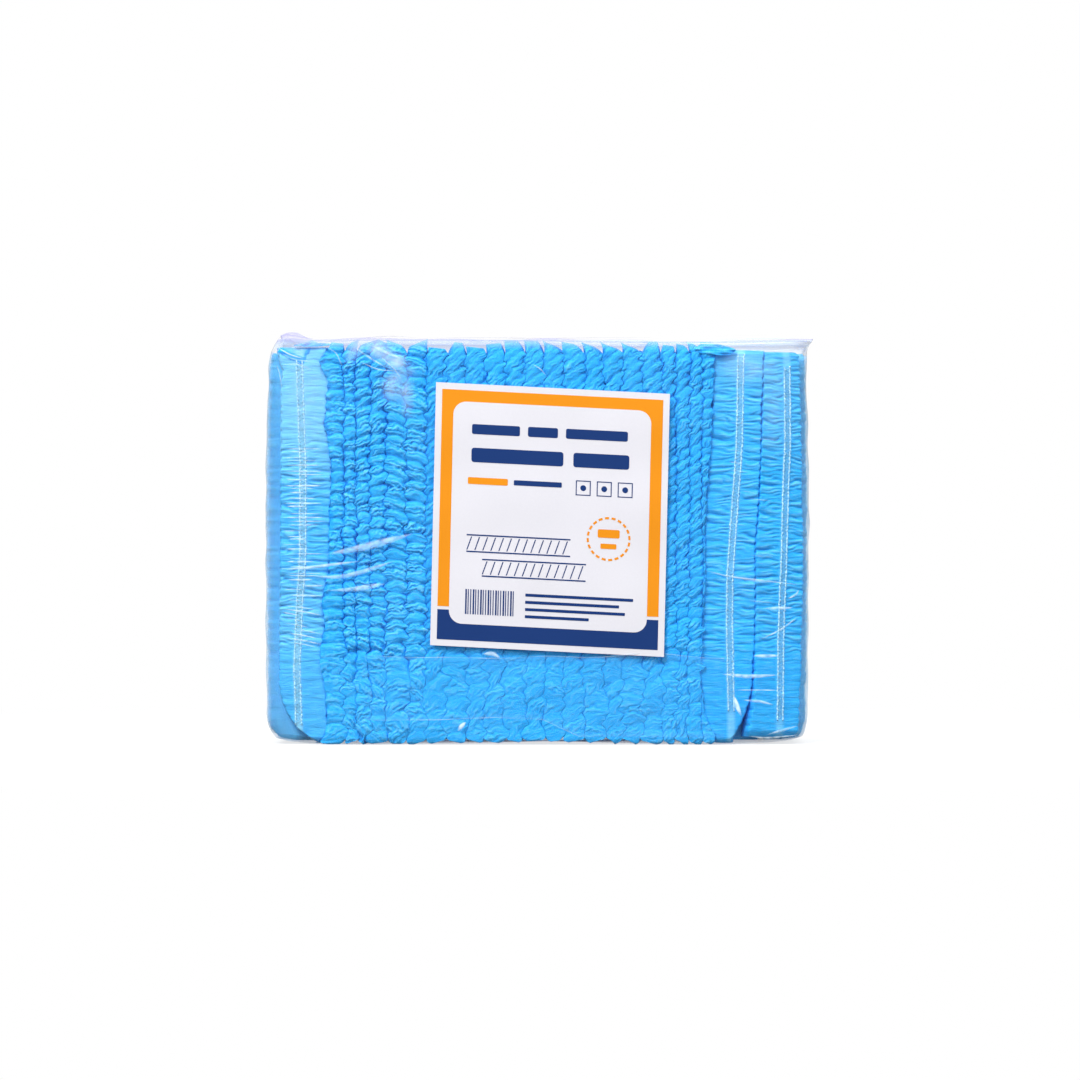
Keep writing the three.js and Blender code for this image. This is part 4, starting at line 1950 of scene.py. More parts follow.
@dataclass
class BackRow:
    """The strips on edge that face the back."""

    bag: BagForm
    cloth: Material
    prefix: str = "cap_back_"
    seed: int = 57
    foot: float = 1.2
    shoulder: float = 193.5
    top: float = 199.2
    film_gap: float = 0.4

    def build(self) -> list[Piece]:
        """Makes one piece for each strip.

        Returns:
            The pieces, from left to right seen from outside.
        """
        nodes = numbered(self.prefix)[::-1]
        boxes = [node_box(node) for node in nodes]
        edges = [-box[1][0] for box in boxes] + [-boxes[-1][0][0]]
        crest, inner = boxes[0][1][1], boxes[0][0][1]
        rng = np.random.default_rng(self.seed)
        style = PleatStyle
        styles = [style.LOOSE, style.RISING, style.LEVEL, style.FALLING, style.BRAID, style.LINKED]
        columns = row_columns(edges, self.foot, self.shoulder, self.top, styles, rng, lean=0.5)

        def reach(across: Array, up: Array) -> Array:
            """How far out the row's face lies, which leans in with the film at its top."""
            return crest + self.film_gap - self.bag.at(up, "face_inset") + 0 * across

        wall = StripWall(Facing.BACK, columns, reach, inner, self.seed, points_across=12, row_height=0.95)
        return wall.pieces(nodes, self.cloth)


@dataclass
class SideStacks:
    """The flat strips stacked at the bag's two sides: their folded edges show there, and one face behind."""

    bag: BagForm
    cloth: Material
    yarn: Material
    count: int = 7
    foot: float = 1.6
    rear_lift: float = 0.6
    shoulder: float = 187.0
    edge_top: float = 195.5
    top: float = 190.0
    rear_rise: float = 4.0
    rear_inset: float = 4.0
    # Painted light on the edges of the left and the right stack, which lie in shade at the pack's sides.
    edge_painted_light: tuple[float, float] = (0.45, 0.50)
    rear_tone: float = 0.1
    foot_shade: float = 0.30
    corner_radius: float = 13.0
    face_gap: float = 1.5
    deepest_cut: float = 22.0
    film_gap: float = 0.35

    def build(self) -> list[Piece]:
        """Makes one piece for each stack.

        Returns:
            The stacks' pieces.
        """
        return [
            self.side("cap_stack_left", Facing.LEFT, 71),
            self.side("cap_stack_right_outer", Facing.RIGHT, 83),
            self.between("cap_stack_right_inner", 95),
        ]

    def rear_strip(self, low: Array, high: Array, thickness: float, seed: int) -> FlatStrip:
        """A strip of a stack that lies flat, its face looking backwards.

        Args:
            low: the lowest corner of its box.
            high: the highest.
            thickness: how thick it is.
            seed: draws what varies.

        Returns:
            The strip.
        """
        width = high[0] - low[0]

        def middle(up: Array) -> Array:
            """Where the elastic wanders down the face."""
            return width * (0.5 + 0.05 * np.sin(up / 45.0 + seed))

        def paleness(across: Array, up: Array) -> Array:
            """How pale the cloth is, alike all over."""
            return self.rear_tone + 0 * across + 0 * up

        return FlatStrip(
            bag=self.bag,
            origin=(high[0], high[1]),
            heading=(-1.0, 0.0),
            width=width,
            thickness=thickness,
            foot=self.foot + self.rear_lift,
            top=self.top + self.rear_rise,
            seed=seed,
            middle=middle,
            paleness=paleness,
            sink=0.8,
            points_across=22,
            row_height=0.95,
        )

    def finish(
        self, node: str, mesh: PieceMesh, low: Array, high: Array, thickness: float, seed: int
    ) -> Piece:
        """Adds a stack's hindmost strip, makes that one's elastic, and makes the stack.

        Args:
            node: the solid that the stack stands for.
            mesh: the stack's other strips.
            low: the lowest corner of the box that the hindmost strip fills.
            high: its highest corner.
            thickness: how thick the strip is.
            seed: draws what varies.

        Returns:
            The stack's piece.
        """
        rear = self.rear_strip(low, high, thickness, seed)
        rear.mesh(mesh)
        name = node.replace("cap_stack", "elastic_rear")
        threads = Elastic().piece(name, rear, rear.foot + 8, rear.top - 6, self.yarn)
        fit_to_frame(threads, "elastic_thread")
        LOG.info("%s: %d faces", threads.name, len(threads.data.polygons))
        return fit_to_frame(mesh.build(strip_name(node), [self.cloth]), "cap_fabric", node)

    def side(self, node: str, facing: Facing, seed: int) -> Piece:
        """Makes the stack at one side.

        Args:
            node: the solid that it stands for.
            facing: the side that it is on.
            seed: draws what varies.

        Returns:
            The piece.
        """
        low, high = node_box(node)
        sign = facing.value[1]
        thickness = (high[1] - low[1]) / self.count
        edges = np.sort(sign * np.linspace(low[1], high[1] - thickness, self.count))
        rng = np.random.default_rng(seed)
        style = PleatStyle
        styles = [style.LEVEL, style.LINKED, style.LOOSE, style.RISING, style.LEVEL, style.FALLING]
        columns = row_columns(list(edges), self.foot, self.shoulder, self.edge_top, styles, rng, lean=0.1)
        radius = self.corner_radius

        def reach(across: Array, up: Array) -> Array:
            """How far out the stack's edges lie, which follow the bag's rounded corners and foot.

            Args:
                across: places across the wall.
                up: heights.

            Returns:
                The distance outwards at each place.
            """
            half = self.bag.half_depth - self.face_gap
            past = np.clip(np.abs(across * sign - self.bag.middle_y) - (half - radius), 0, radius - 0.2)
            curve = radius - np.sqrt(radius**2 - past**2)
            side = self.bag.half_width + sign * self.bag.middle_x - self.film_gap
            cut = np.minimum(curve + self.bag.corner_cut(up, sign), self.deepest_cut)
            return side - self.bag.at(up, "side_inset") + self.bag.at(up, "shift") * sign - cut

        wall = StripWall(
            facing,
            columns,
            reach,
            -high[0] if sign < 0 else low[0],
            seed,
            points_across=13,
            row_height=0.9,
            wall_shade=0.5,
            foot_shade=self.foot_shade,
            dome=0.7,
        )
        mesh = PieceMesh()
        for number in range(len(columns)):
            wall.mesh(number, mesh, self.edge_painted_light[sign > 0])
        rear_low, rear_high = low.copy(), high.copy()
        rear_low[1] = high[1] - thickness
        # The hindmost strip keeps clear of the bag's rounded corner.
        (rear_low if sign < 0 else rear_high)[0] -= sign * self.rear_inset
        return self.finish(node, mesh, rear_low, rear_high, thickness, seed + 3)

    def between(self, node: str, seed: int) -> Piece:
        """Makes the stack between the right-hand one and the strips on edge.

        Args:
            node: the solid that it stands for.
            seed: draws what varies.

        Returns:
            The piece.
        """
        low, high = node_box(node)
        thickness = (high[1] - low[1]) / self.count
        mesh = PieceMesh()
        for number in range(self.count - 1):
            strip_high = high.copy()
            strip_high[1] = low[1] + (number + 1) * thickness - 0.3
            strip = self.rear_strip(low, strip_high, thickness - 0.6, seed + 5 * number)
            strip.points_across, strip.row_height = 10, 2.4
            strip.top = self.top + 3.0 * math.sin(2.4 * number)
            strip.mesh(mesh)
        rear_low = low.copy()
        rear_low[1] = high[1] - thickness
        return self.finish(node, mesh, rear_low, high, thickness, seed + 3)


@dataclass
class Core:
    """The strips on edge between the front and the back row, of which only the upper ends show."""

    cloth: Material
    node: str = "cap_core"
    per_row: int = 19
    seed: int = 131
    foot: float = 2.0
    end_height: float = 4.0
    end_rise: float = 2.0
    row_gap: float = 0.3

    def build(self) -> Piece:
        """Makes the strips as one piece, in two rows back to back.

        Returns:
            The piece.
        """
        low, high = node_box(self.node)
        rng = np.random.default_rng(self.seed)
        mesh = PieceMesh()
        half = (high[1] - low[1]) / 2
        shoulder, top = high[2] - self.end_height, high[2] + self.end_rise
        for facing in (Facing.FRONT, Facing.BACK):
            span = np.linspace(low[0], high[0], self.per_row + 1)
            edges = span if facing is Facing.FRONT else -span[::-1]
            columns = row_columns(list(edges), self.foot, shoulder, top, [PleatStyle.LOOSE], rng, lean=0.1)
            nearest = -low[1] if facing is Facing.FRONT else high[1]
            inner = nearest - half + self.row_gap

            def reach(across: Array, up: Array, nearest: float = nearest) -> Array:
                """How far out the row's face lies, alike all over."""
                return nearest + 0 * across + 0 * up

            wall = StripWall(
                facing, columns, reach, inner, self.seed, points_across=6, row_height=3.4, wrinkle=0.0
            )
            for number in range(len(columns)):
                wall.mesh(number, mesh)
        return fit_to_frame(mesh.build(strip_name(self.node), [self.cloth]), "cap_fabric", self.node)


# ---------------------------------------------------------------------------------------------------------
# The bag
# ---------------------------------------------------------------------------------------------------------


@dataclass(frozen=True)
class ReflectionPatch:
    """A soft patch of painted reflection where the film shines: its middle across and up, its half-sizes, its
    turn and strength.
    """

    across: float
    up: float
    half_across: float
    half_up: float
    turn: float
    haze: float

    def at(self, across: Array, up: Array) -> Array:
        """How much painted reflection the patch puts on the film.

        Args:
            across: places along X.
            up: their heights.

        Returns:
            The painted reflection at each place.
        """
        cos, sin = math.cos(math.radians(self.turn)), math.sin(math.radians(self.turn))
        step_across, step_up = across - self.across, up - self.up
        u = (step_across * cos + step_up * sin) / self.half_across
        v = (step_up * cos - step_across * sin) / self.half_up
        worn = 1 + 0.3 * Ripple(int(self.up), 7.0)(across, up)
        return self.haze * worn * np.exp(-((u**2 + v**2) ** 1.5))


@dataclass(frozen=True)
class Crease:
    """A raised crease in the film: its way across and up, its broadest width and how much painted highlight
    it carries.

    It is broadest at the share swell of its way, and edge says how far it takes the film's edge tint.
    """

    way: tuple[tuple[float, float], ...]
    width: float
    haze: float
    swell: float = 0.5
    edge: float = 0.0


@dataclass
class FilmBag:
    """The clear film round the caps, with its fin along the top."""

    bag: BagForm
    film: Material
    front_steps: int = 100
    side_steps: int = 22
    corner_steps: int = 7
    # How much painted milky reflection the film takes: a faint veil all over, more on its roof, dog-ear and
    # fin, and on its left and right rims.
    base_haze_and_reflection: float = 0.006
    roof_haze_and_reflection: float = 0.46
    ear_haze_and_reflection: float = 0.20
    fin_haze_and_reflection: float = 0.30
    flat_clears: float = 0.6
    rim_reflection: tuple[float, float] = (0.30, 0.12)
    rim_edge: float = 0.15
    fin_wander: float = 1.1
    ear_middle: float = -125.5
    ear_height: float = 3.6
    patches: tuple[ReflectionPatch, ...] = (
        ReflectionPatch(-117.0, 176.0, 10.5, 24.0, 2.0, 0.10),
        ReflectionPatch(-75.0, 194.0, 12.0, 3.4, -31.0, 0.46),
        ReflectionPatch(-71.5, 179.5, 6.5, 7.0, 0.0, 0.28),
        ReflectionPatch(-92.5, 196.5, 2.8, 5.0, -25.0, 0.36),
        ReflectionPatch(-65.5, 173.0, 2.4, 8.0, 0.0, 0.18),
        ReflectionPatch(104.0, 189.0, 12.0, 7.0, 0.0, 0.16),
        ReflectionPatch(118.0, 172.0, 6.0, 22.0, 0.0, 0.08),
    )

    def veil(self, places: Array) -> Array:
        """How much painted reflection the film's shining patches in front and its faint veil put on it.

        Args:
            places: N by 3 places in mm.

        Returns:
            The painted reflection at each.
        """
        across, out, up = places[..., 0], -places[..., 1], places[..., 2]
        in_front = smooth(8.0, 26.0, out)
        total = np.clip(self.base_haze_and_reflection * (1 + 0.8 * Ripple(31, 45.0)(across + out * 0.7, up)), 0, 1)
        for patch in self.patches:
            total = total + patch.at(across, up) * in_front
        return np.clip(total, 0, 0.9)

    def paint(self, points: Array) -> dict[str, Array]:
        """The film's painted values: painted milky reflection and tint on its roof, its fin and its rims.

        Args:
            points: N by 3 places in mm.

        Returns:
            The painted reflection and the "edge" tint at each.
        """
        across, deep, up = points[:, 0], np.abs(points[:, 1]), points[:, 2]
        # The roof, the dog-ear, the fin and the rims, where the film turns away, take painted reflection.
        roof = smooth(198.0, 203.5, up)
        past_side = np.abs(across - self.bag.middle_x) - self.bag.half_width
        rim = smooth(-4.2, -1.2, past_side) * smooth(14.0, 30.0, deep)
        ear = smooth(-112.0, -124.0, across)
        rim_reflection = np.where(across < 0, *self.rim_reflection)
        # The roof's flat middle is clear, so that the caps show through it.
        flat = smooth(31.0, 22.0, deep) * smooth(204.3, 204.0, up)
        fin = smooth(203.9, 204.3, up)
        roof_haze_and_reflection = self.roof_haze_and_reflection + self.ear_haze_and_reflection * ear + self.fin_haze_and_reflection * fin
        roof_haze_and_reflection = roof_haze_and_reflection * (1 - self.flat_clears * flat)
        haze = np.clip(self.veil(points) + roof_haze_and_reflection * roof + rim_reflection * rim, 0, 1)
        return {"haze": haze, "edge": np.maximum(roof * (1 - 0.7 * flat), self.rim_edge * rim)}

    def build(self) -> Piece:
        """Makes the film as one skin: rings from the foot to the fin, the foot shut, the fin's mouth open.

        Returns:
            The piece.
        """
        foot = [0.05, 0.7, 1.5, 2.4, 3.4, 4.5, 6.0, 8.0]
        body = np.arange(10.0, 188.0, 3.0)
        shoulder = [188, 190.5, 193, 195.5, 198, 200, 201.4, 202.4, 203.0, 203.5, 203.8, 204.05]
        fin = np.linspace(204.25, self.bag.height, 5)
        rows = np.concatenate([foot, body, shoulder, fin])
        rings = []
        for up in rows:
            places, headings = self.bag.outline(up, self.front_steps, self.side_steps, self.corner_steps)
            push = self.bag.swell(np.column_stack([places, np.full(len(places), up)]))
            lean = self.fin_wander * np.sin(places[:, 0] / 21.0) * smooth(202.5, 206.0, up)
            height = up + self.fin_rise(places[:, 0]) * smooth(202.0, 206.5, up)
            height = height + self.bag.foot_at(places[:, 0]) * smooth(26.0, 0.0, up)
            height = height - self.bag.sag_at(places[:, 0], up)
            ring = places + headings * push[:, None]
            rings.append(np.column_stack([ring[:, 0], ring[:, 1] + lean, height]))
        points = np.concatenate(rings)
        size = len(rings[0])
        faces = grid_faces(len(rows), size, closed=True) + end_fan(0, size, len(points), False)
        points = np.concatenate([points, [[self.bag.middle_x, self.bag.middle_y, 0.2]]])
        mesh = PieceMesh()
        mesh.add(points, faces, self.paint(points))
        return fit_to_frame(mesh.build("bag_skin", [self.film]), "bag_film", "bag_film")

    def fin_rise(self, across: Array) -> Array:
        """How far the fin stands over its usual height: a dog-ear at the left and ripples elsewhere."""
        ear = np.clip(1.3 - np.abs(across - self.ear_middle) / 7.5, 0, 1) * self.ear_height
        return ear - 1.5 + 0.45 * np.sin(across / 17.0) + 0.3 * np.sin(across / 7.3 + 1)


@dataclass
class FilmCreases:
    """The sharp creases that the film shows, raised along its face, and its gathers over the flat strips."""

    bag: BagForm
    film: Material
    steps: int = 26
    front_edge: float = 203.0
    creases: tuple[Crease, ...] = (
        Crease(((-107.5, 95.0), (-88.0, 98.6), (-62.5, 105.6)), 4.4, 0.48, 0.54),
        Crease(((-131.0, 88.0), (-118.0, 88.2), (-101.0, 90.5), (-88.0, 92.0)), 1.9, 0.62),
        Crease(((-114.0, 84.5), (-100.0, 83.6), (-88.0, 86.5), (-70.8, 92.4)), 2.8, 0.42),
        Crease(((-118.0, 79.5), (-107.0, 79.6)), 1.3, 0.5),
        Crease(((-109.0, 77.0), (-92.0, 77.8), (-76.5, 80.6)), 3.2, 0.46, 0.66),
        Crease(((82.3, 87.5), (96.0, 84.0), (109.3, 82.5), (131.0, 80.0)), 1.2, 0.5),
        Crease(((112.0, 68.2), (128.0, 68.6)), 2.0, 0.55),
        Crease(((124.5, 73.0), (129.0, 75.2), (130.5, 78.0)), 1.3, 0.75),
        Crease(((110.5, 52.5), (121.0, 57.5), (131.0, 65.0)), 1.1, 0.5),
        Crease(((107.0, 44.5), (121.0, 44.6)), 2.2, 0.62),
        Crease(((91.0, 35.5), (105.0, 34.2), (120.0, 35.0)), 2.4, 0.62),
        Crease(((98.0, 27.5), (121.0, 27.4)), 1.0, 0.5),
        Crease(((102.0, 22.5), (111.0, 21.8), (117.8, 20.0)), 1.7, 0.55),
        Crease(((97.5, 25.0), (99.5, 19.0), (101.5, 14.0)), 2.6, 0.85),
        Crease(((114.0, 5.0), (122.0, 7.5), (130.0, 9.5)), 1.6, 0.45),
        Crease(((104.0, 4.5), (114.0, 3.4), (131.0, 5.0)), 1.2, 0.5),
        Crease(((-28.0, 45.5), (-23.0, 45.8), (-19.0, 43.5)), 2.6, 0.85),
        Crease(((-40.5, 6.8), (-38.5, 9.5), (-36.2, 11.5)), 2.6, 0.85),
        Crease(((-93.0, 199.5), (-85.0, 194.0), (-76.0, 188.5)), 1.3, 0.40),
        Crease(((-84.0, 200.0), (-76.0, 196.0), (-67.0, 192.5)), 2.2, 0.42),
        Crease(((-89.0, 191.5), (-80.0, 187.5), (-71.0, 187.0)), 0.9, 0.40),
        Crease(((-79.0, 194.0), (-72.0, 188.0), (-68.0, 182.0)), 0.9, 0.36),
        Crease(((-106.0, 199.0), (-101.0, 196.0), (-98.0, 189.0)), 0.7, 0.40),
        Crease(((-130.0, 196.5), (-122.0, 192.5), (-112.0, 191.5)), 1.1, 0.42),
        Crease(((-129.0, 190.0), (-121.0, 190.5), (-113.0, 187.5)), 0.8, 0.36),
        Crease(((-3.0, 190.5), (1.0, 188.0), (4.0, 184.5)), 0.6, 0.5),
        Crease(
            ((-133.0, 199.0), (-130.5, 204.0), (-128.5, 206.0), (-119.0, 204.2), (-106.0, 202.0)),
            0.6, 0.6, 0.5, 1.0,
        ),
        Crease(((-128.6, 205.6), (-127.2, 202.4), (-129.6, 199.0), (-131.5, 196.0)), 0.9, 0.5, 0.5, 0.6),
        Crease(((-126.5, 204.6), (-121.0, 200.4), (-116.5, 198.6)), 0.6, 0.5, 0.5, 1.0),
        Crease(
            ((-110.0, 202.0), (-96.0, 202.2), (-85.0, 204.0), (-74.0, 204.8), (-58.0, 203.6)),
            0.5, 0.45, 0.5, 1.0,
        ),
        Crease(
            ((-62.0, 203.6), (-30.0, 203.9), (0.0, 203.4), (30.0, 203.8), (62.0, 203.6)),
            0.5, 0.4, 0.5, 1.0,
        ),
        Crease(((-131.0, 199.0), (-124.0, 195.0), (-117.0, 193.0)), 1.0, 0.55),
        Crease(((-131.5, 191.0), (-129.5, 186.0), (-128.5, 178.0)), 0.7, 0.5),
        Crease(((58.0, 201.5), (96.0, 200.4), (132.0, 201.6)), 0.6, 0.6),
        Crease(((84.0, 203.0), (110.0, 203.4), (136.0, 203.8)), 0.6, 0.55),
        Crease(((95.0, 198.0), (115.0, 196.8), (135.5, 198.4)), 0.6, 0.55),
    )

    def __post_init__(self) -> None:
        """Makes the noise that breaks up the creases' painted highlights."""
        self.streak = Ripple(63, 4.2)

    def build(self) -> Piece:
        """Makes all creases as one piece.

        Returns:
            The piece.
        """
        mesh = PieceMesh()
        for crease in (*self.creases, *self.gathers()):
            self.ridge(crease, mesh)
        return fit_to_frame(mesh.build("bag_creases", [self.film]), "bag_film")

    def gathers(self) -> list[Crease]:
        """Short level creases where the film is drawn in over the flat strips.

        Returns:
            The creases, from the lowest up.
        """
        rng = np.random.default_rng(77)
        gathers = []
        for up in np.arange(52.0, 150.0, 2.3):
            start = -128.5 + 3.5 * rng.random()
            length = rng.uniform(8.0, 22.0)
            fall = -0.18 * length * smooth(78.0, 66.0, up)
            level = up + rng.uniform(-0.8, 0.8)
            way = ((start, level), (start + length / 2, level + fall * 0.4), (start + length, level + fall))
            gathers.append(Crease(way, rng.uniform(0.6, 1.3), rng.uniform(0.32, 0.68)))
        for up in np.arange(70.0, 180.0, 6.5):
            start = 94.0 + rng.uniform(0.0, 14.0)
            length = rng.uniform(6.0, 15.0)
            level = up + rng.uniform(-2.0, 2.0)
            way = ((start, level + 0.5), (start + length / 2, level), (start + length, level - 0.7))
            gathers.append(Crease(way, rng.uniform(0.5, 1.0), rng.uniform(0.12, 0.30)))
        return gathers

    def course(self, crease: Crease) -> tuple[Array, Array]:
        """A crease's rounded way, in even steps.

        Args:
            crease: the crease.

        Returns:
            How far along the crease each step lies, from 0 to 1, and its place across and up.
        """
        way = np.array(crease.way)
        lengths = np.concatenate([[0], np.cumsum(np.hypot(*np.diff(way, axis=0).T))])
        share = np.linspace(0, 1, self.steps)
        rounded = []
        for line in way.T:
            even = np.interp(share * lengths[-1], lengths, line)
            even = np.pad(even, 3, mode="reflect", reflect_type="odd")
            rounded.append(np.convolve(even, np.ones(7) / 7, "valid"))
        return share, np.column_stack(rounded)

    def ridge(self, crease: Crease, into: PieceMesh) -> None:
        """Adds one crease: an arched ridge that tapers to nothing at both ends.

        Args:
            crease: the crease.
            into: the mesh that it is added to.
        """
        share, places = self.course(crease)
        ahead = np.gradient(places, axis=0)
        ahead /= np.linalg.norm(ahead, axis=1, keepdims=True)
        beside = np.column_stack([-ahead[:, 1], ahead[:, 0]])
        skew = share ** (math.log(0.5) / math.log(crease.swell))
        taper = np.sin(math.pi * skew) ** 0.8
        half = 0.5 * crease.width * np.maximum(taper, 0.06)[:, None]
        # Across the ridge: where its points lie, how high they stand and how much painted highlight they
        # carry.
        offsets = np.array([-1.0, -0.55, 0.0, 0.55, 1.0])
        lift = np.array([0.0, 0.65, 1.0, 0.65, 0.0])
        milky_reflection = np.array([0.0, 0.8, 1.0, 0.8, 0.0])
        across = places[:, :1] + beside[:, :1] * half * offsets
        up = places[:, 1:] + beside[:, 1:] * half * offsets
        # Over the film's front edge a crease stands up from it instead of following the roof back.
        out = self.bag.front_out(across, np.minimum(up, self.front_edge)) + 0.35 + 0.30 * half * lift
        haze = crease.haze * np.outer(np.minimum(taper * 1.6, 1.0), milky_reflection)
        haze = haze * np.clip(0.9 + 0.32 * self.streak(across, up), 0.3, 1.2)
        paint = {"haze": haze, "edge": np.full(haze.size, crease.edge)}
        into.add(Facing.FRONT.place(across, out, up), grid_faces(self.steps, len(offsets)), paint)


@dataclass
class Flap:
    """The film's second layer over the foot of the front, with a welded bead along its two long edges."""

    bag: BagForm
    film: Material
    node: str = "bag_flap"
    lift: float = 0.30
    # Painted milky reflection, faint over the layer and stronger along its two long edges, and a painted
    # highlight on its beads.
    haze: float = 0.008
    rim_reflection: float = 0.06
    bead_highlight: float = 0.26
    bead_sides: int = 5
    # The welded foot runs across the front and then dips under it: X, and the weld's height there.
    foot_way: Seam = Seam(
        ((-87.0, 12.4), (-50.0, 12.6), (-23.0, 13.8), (2.0, 12.8), (20.0, 4.4), (93.0, 3.6))
    )

    def build(self) -> Piece:
        """Makes the layer and its beads as one piece.

        Returns:
            The piece.
        """
        low, high = node_box(self.node)
        across = np.linspace(low[0], high[0], 90)
        wave = Ripple(91, 40.0)
        foot = self.foot_way(across)
        top = high[2] + 1.2 + 0.9 * wave(across, 5.0) - 1.2 * smooth(60.0, 93.0, across)
        up = foot + (top - foot) * np.linspace(0, 1, 14)[:, None]
        wide = np.broadcast_to(across, up.shape)
        out = self.bag.front_out(wide, up) + self.lift + 0.18 * wave(wide, up)
        points = Facing.FRONT.place(wide, out, up)
        mesh = PieceMesh()
        haze = np.full(up.shape, self.haze)
        haze[[0, -1]] = self.rim_reflection
        mesh.add(points, grid_faces(*up.shape), {"haze": haze, "edge": np.full(up.size, 0.3)})
        for row, fades in ((0, smooth(30.0, 16.0, across)), (-1, 1.0)):
            seen = smooth(-90.0, -70.0, across) * fades
            milky_reflection = np.clip(self.bead_highlight * seen * (0.7 + 0.4 * wave(across * 3.0, 9.0)), 0, 1)
            paint = {"haze": (milky_reflection[:, None], 0.0, 0.0), "edge": (0.2, 0.2, 0.2)}
            radius = 0.15 + 0.06 * np.sin(across / 5.0)
            tube(points[row] + [0, -0.15, 0], radius, self.bead_sides, mesh, paint)
        return fit_to_frame(mesh.build("bag_foot_flap", [self.film]), "bag_film", self.node)


# ---------------------------------------------------------------------------------------------------------
# The label
# ---------------------------------------------------------------------------------------------------------


def arc(x: float, y: float, radius: float, angles: Array) -> Array:
    """Places round a middle at these angles, N by 2."""
    return np.column_stack([x + radius * np.cos(angles), y + radius * np.sin(angles)])


class Ink(Enum):
    """What a printed shape is printed in, as its number among the label's materials."""

    PAPER = 0
    ORANGE = 1
    NAVY = 2


@dataclass
class PaperLabel:
    """The paper label: a white sheet with an orange frame, a navy foot and plain generic marks."""

    bag: BagForm
    inks: list[Material]
    node: str = "label"
    border: float = 3.2
    frame_width: float = 5.8
    frame_gap: float = 1.6
    foot_height: float = 15.0
    foot_shown: float = 0.55
    panel_radius: float = 6.5
    thickness: float = 0.12
    cell: float = 3.0
    cell_margin: float = 0.1
    lift: float = 0.78
    billow: float = 0.13
    ink_step: float = 0.07

    def __post_init__(self) -> None:
        """Reads the label's corners from its solid."""
        places = node_places(self.node)
        across, up = places[:, 0], places[:, 2]
        rising, falling = across + up, across - up
        picks = [np.argmin(rising), np.argmax(falling), np.argmax(rising), np.argmin(falling)]
        self.corners = places[picks][:, [0, 2]]
        self.width = float(np.linalg.norm(self.corners[1] - self.corners[0]))
        self.height = float(np.linalg.norm(self.corners[3] - self.corners[0]))
        self.wave = Ripple(47, 34.0)

    def place(self, across: Array, up: Array, layer: float) -> Array:
        """Turns places on the flat label, from its lower left corner, to the frame.

        Args:
            across: along the label's foot.
            up: along its side.
            layer: how many inks lie under it.

        Returns:
            The places, on the film's face.
        """
        s, t = (across / self.width)[..., None], (up / self.height)[..., None]
        foot_left, foot_right, top_right, top_left = self.corners
        flat = (foot_left * (1 - s) + foot_right * s) * (1 - t) + (top_left * (1 - s) + top_right * s) * t
        x, z = flat[..., 0], flat[..., 1]
        out = self.bag.front_out(x, z, waved=False) + self.lift + self.billow * self.wave(x, z)
        return Facing.FRONT.place(x, out + self.ink_step * layer, z)

    def shape(self, outline: Array, into: PieceMesh, ink: Ink = Ink.NAVY, layer: int = 3) -> None:
        """Prints one filled shape, cut into cells so that it follows the film.

        Args:
            outline: its corners, anticlockwise, in mm from the label's lower left corner.
            into: the mesh that it is added to.
            ink: what it is printed in.
            layer: how many inks lie under it.
        """
        flat = bmesh.new()
        flat.faces.new([flat.verts.new((x, y, 0.0)) for x, y in outline])
        low, high = np.min(outline, 0) + self.cell_margin, np.max(outline, 0) - self.cell_margin
        for axis, normal in ((0, (1.0, 0.0, 0.0)), (1, (0.0, 1.0, 0.0))):
            for cut in np.arange(math.ceil(low[axis] / self.cell), high[axis] / self.cell) * self.cell:
                everything = [*flat.verts, *flat.edges, *flat.faces]
                place = [cut * step for step in normal]
                bmesh.ops.bisect_plane(flat, geom=everything, plane_co=place, plane_no=normal)
        bmesh.ops.triangulate(flat, faces=flat.faces)
        flat.verts.index_update()
        places = np.array([vert.co[:2] for vert in flat.verts])
        faces = [[vert.index for vert in face.verts] for face in flat.faces]
        flat.free()
        into.add(self.place(places[:, 0], places[:, 1], layer), faces, slot=ink.value)

    def bar(
        self,
        left: float,
        low: float,
        width: float,
        height: float,
        into: PieceMesh,
        ink: Ink = Ink.NAVY,
        layer: int = 3,
        radius: float | None = None,
    ) -> None:
        """Prints a bar with rounded corners.

        Args:
            left: its left side, in mm from the label's lower left corner.
            low: its lower side.
            width: how wide it is.
            height: how high it is.
            into: the mesh that it is added to.
            ink: what it is printed in.
            layer: how many inks lie under it.
            radius: its corners' radius, or none for slight ones.
        """
        radius = min(height, width) * 0.18 if radius is None else radius
        right, top = left + width - radius, low + height - radius
        left, low = left + radius, low + radius
        steps = 4 if radius < 2.0 else 10
        outline = []
        for turn, x, y in ((180, left, low), (270, right, low), (0, right, top), (90, left, top)):
            for step in range(steps):
                angle = math.radians(turn + 90 * step / (steps - 1))
                outline.append((x + radius * math.cos(angle), y + radius * math.sin(angle)))
        self.shape(np.array(outline), into, ink, layer)

    def block(
        self,
        left: float,
        low: float,
        width: float,
        height: float,
        into: PieceMesh,
        ink: Ink = Ink.NAVY,
        layer: int = 3,
    ) -> None:
        """Prints a plain square-cornered area."""
        outline = [(left, low), (left + width, low), (left + width, low + height), (left, low + height)]
        self.shape(np.array(outline), into, ink, layer)

    def ring(self, x: float, y: float, radius: float, width: float, dashes: int, into: PieceMesh) -> None:
        """Prints an orange ring of dashes.

        Args:
            x: its middle, in mm from the label's lower left corner.
            y: the same, up the label.
            radius: its outer radius.
            width: how wide its line is.
            dashes: how many dashes it has.
            into: the mesh that it is added to.
        """
        for dash in range(dashes):
            angles = 2 * math.pi * (dash + np.linspace(0.0, 0.62, 5)) / dashes
            outer, inner = arc(x, y, radius, angles), arc(x, y, radius - width, angles)
            self.shape(np.concatenate([outer, inner[::-1]]), into, Ink.ORANGE)

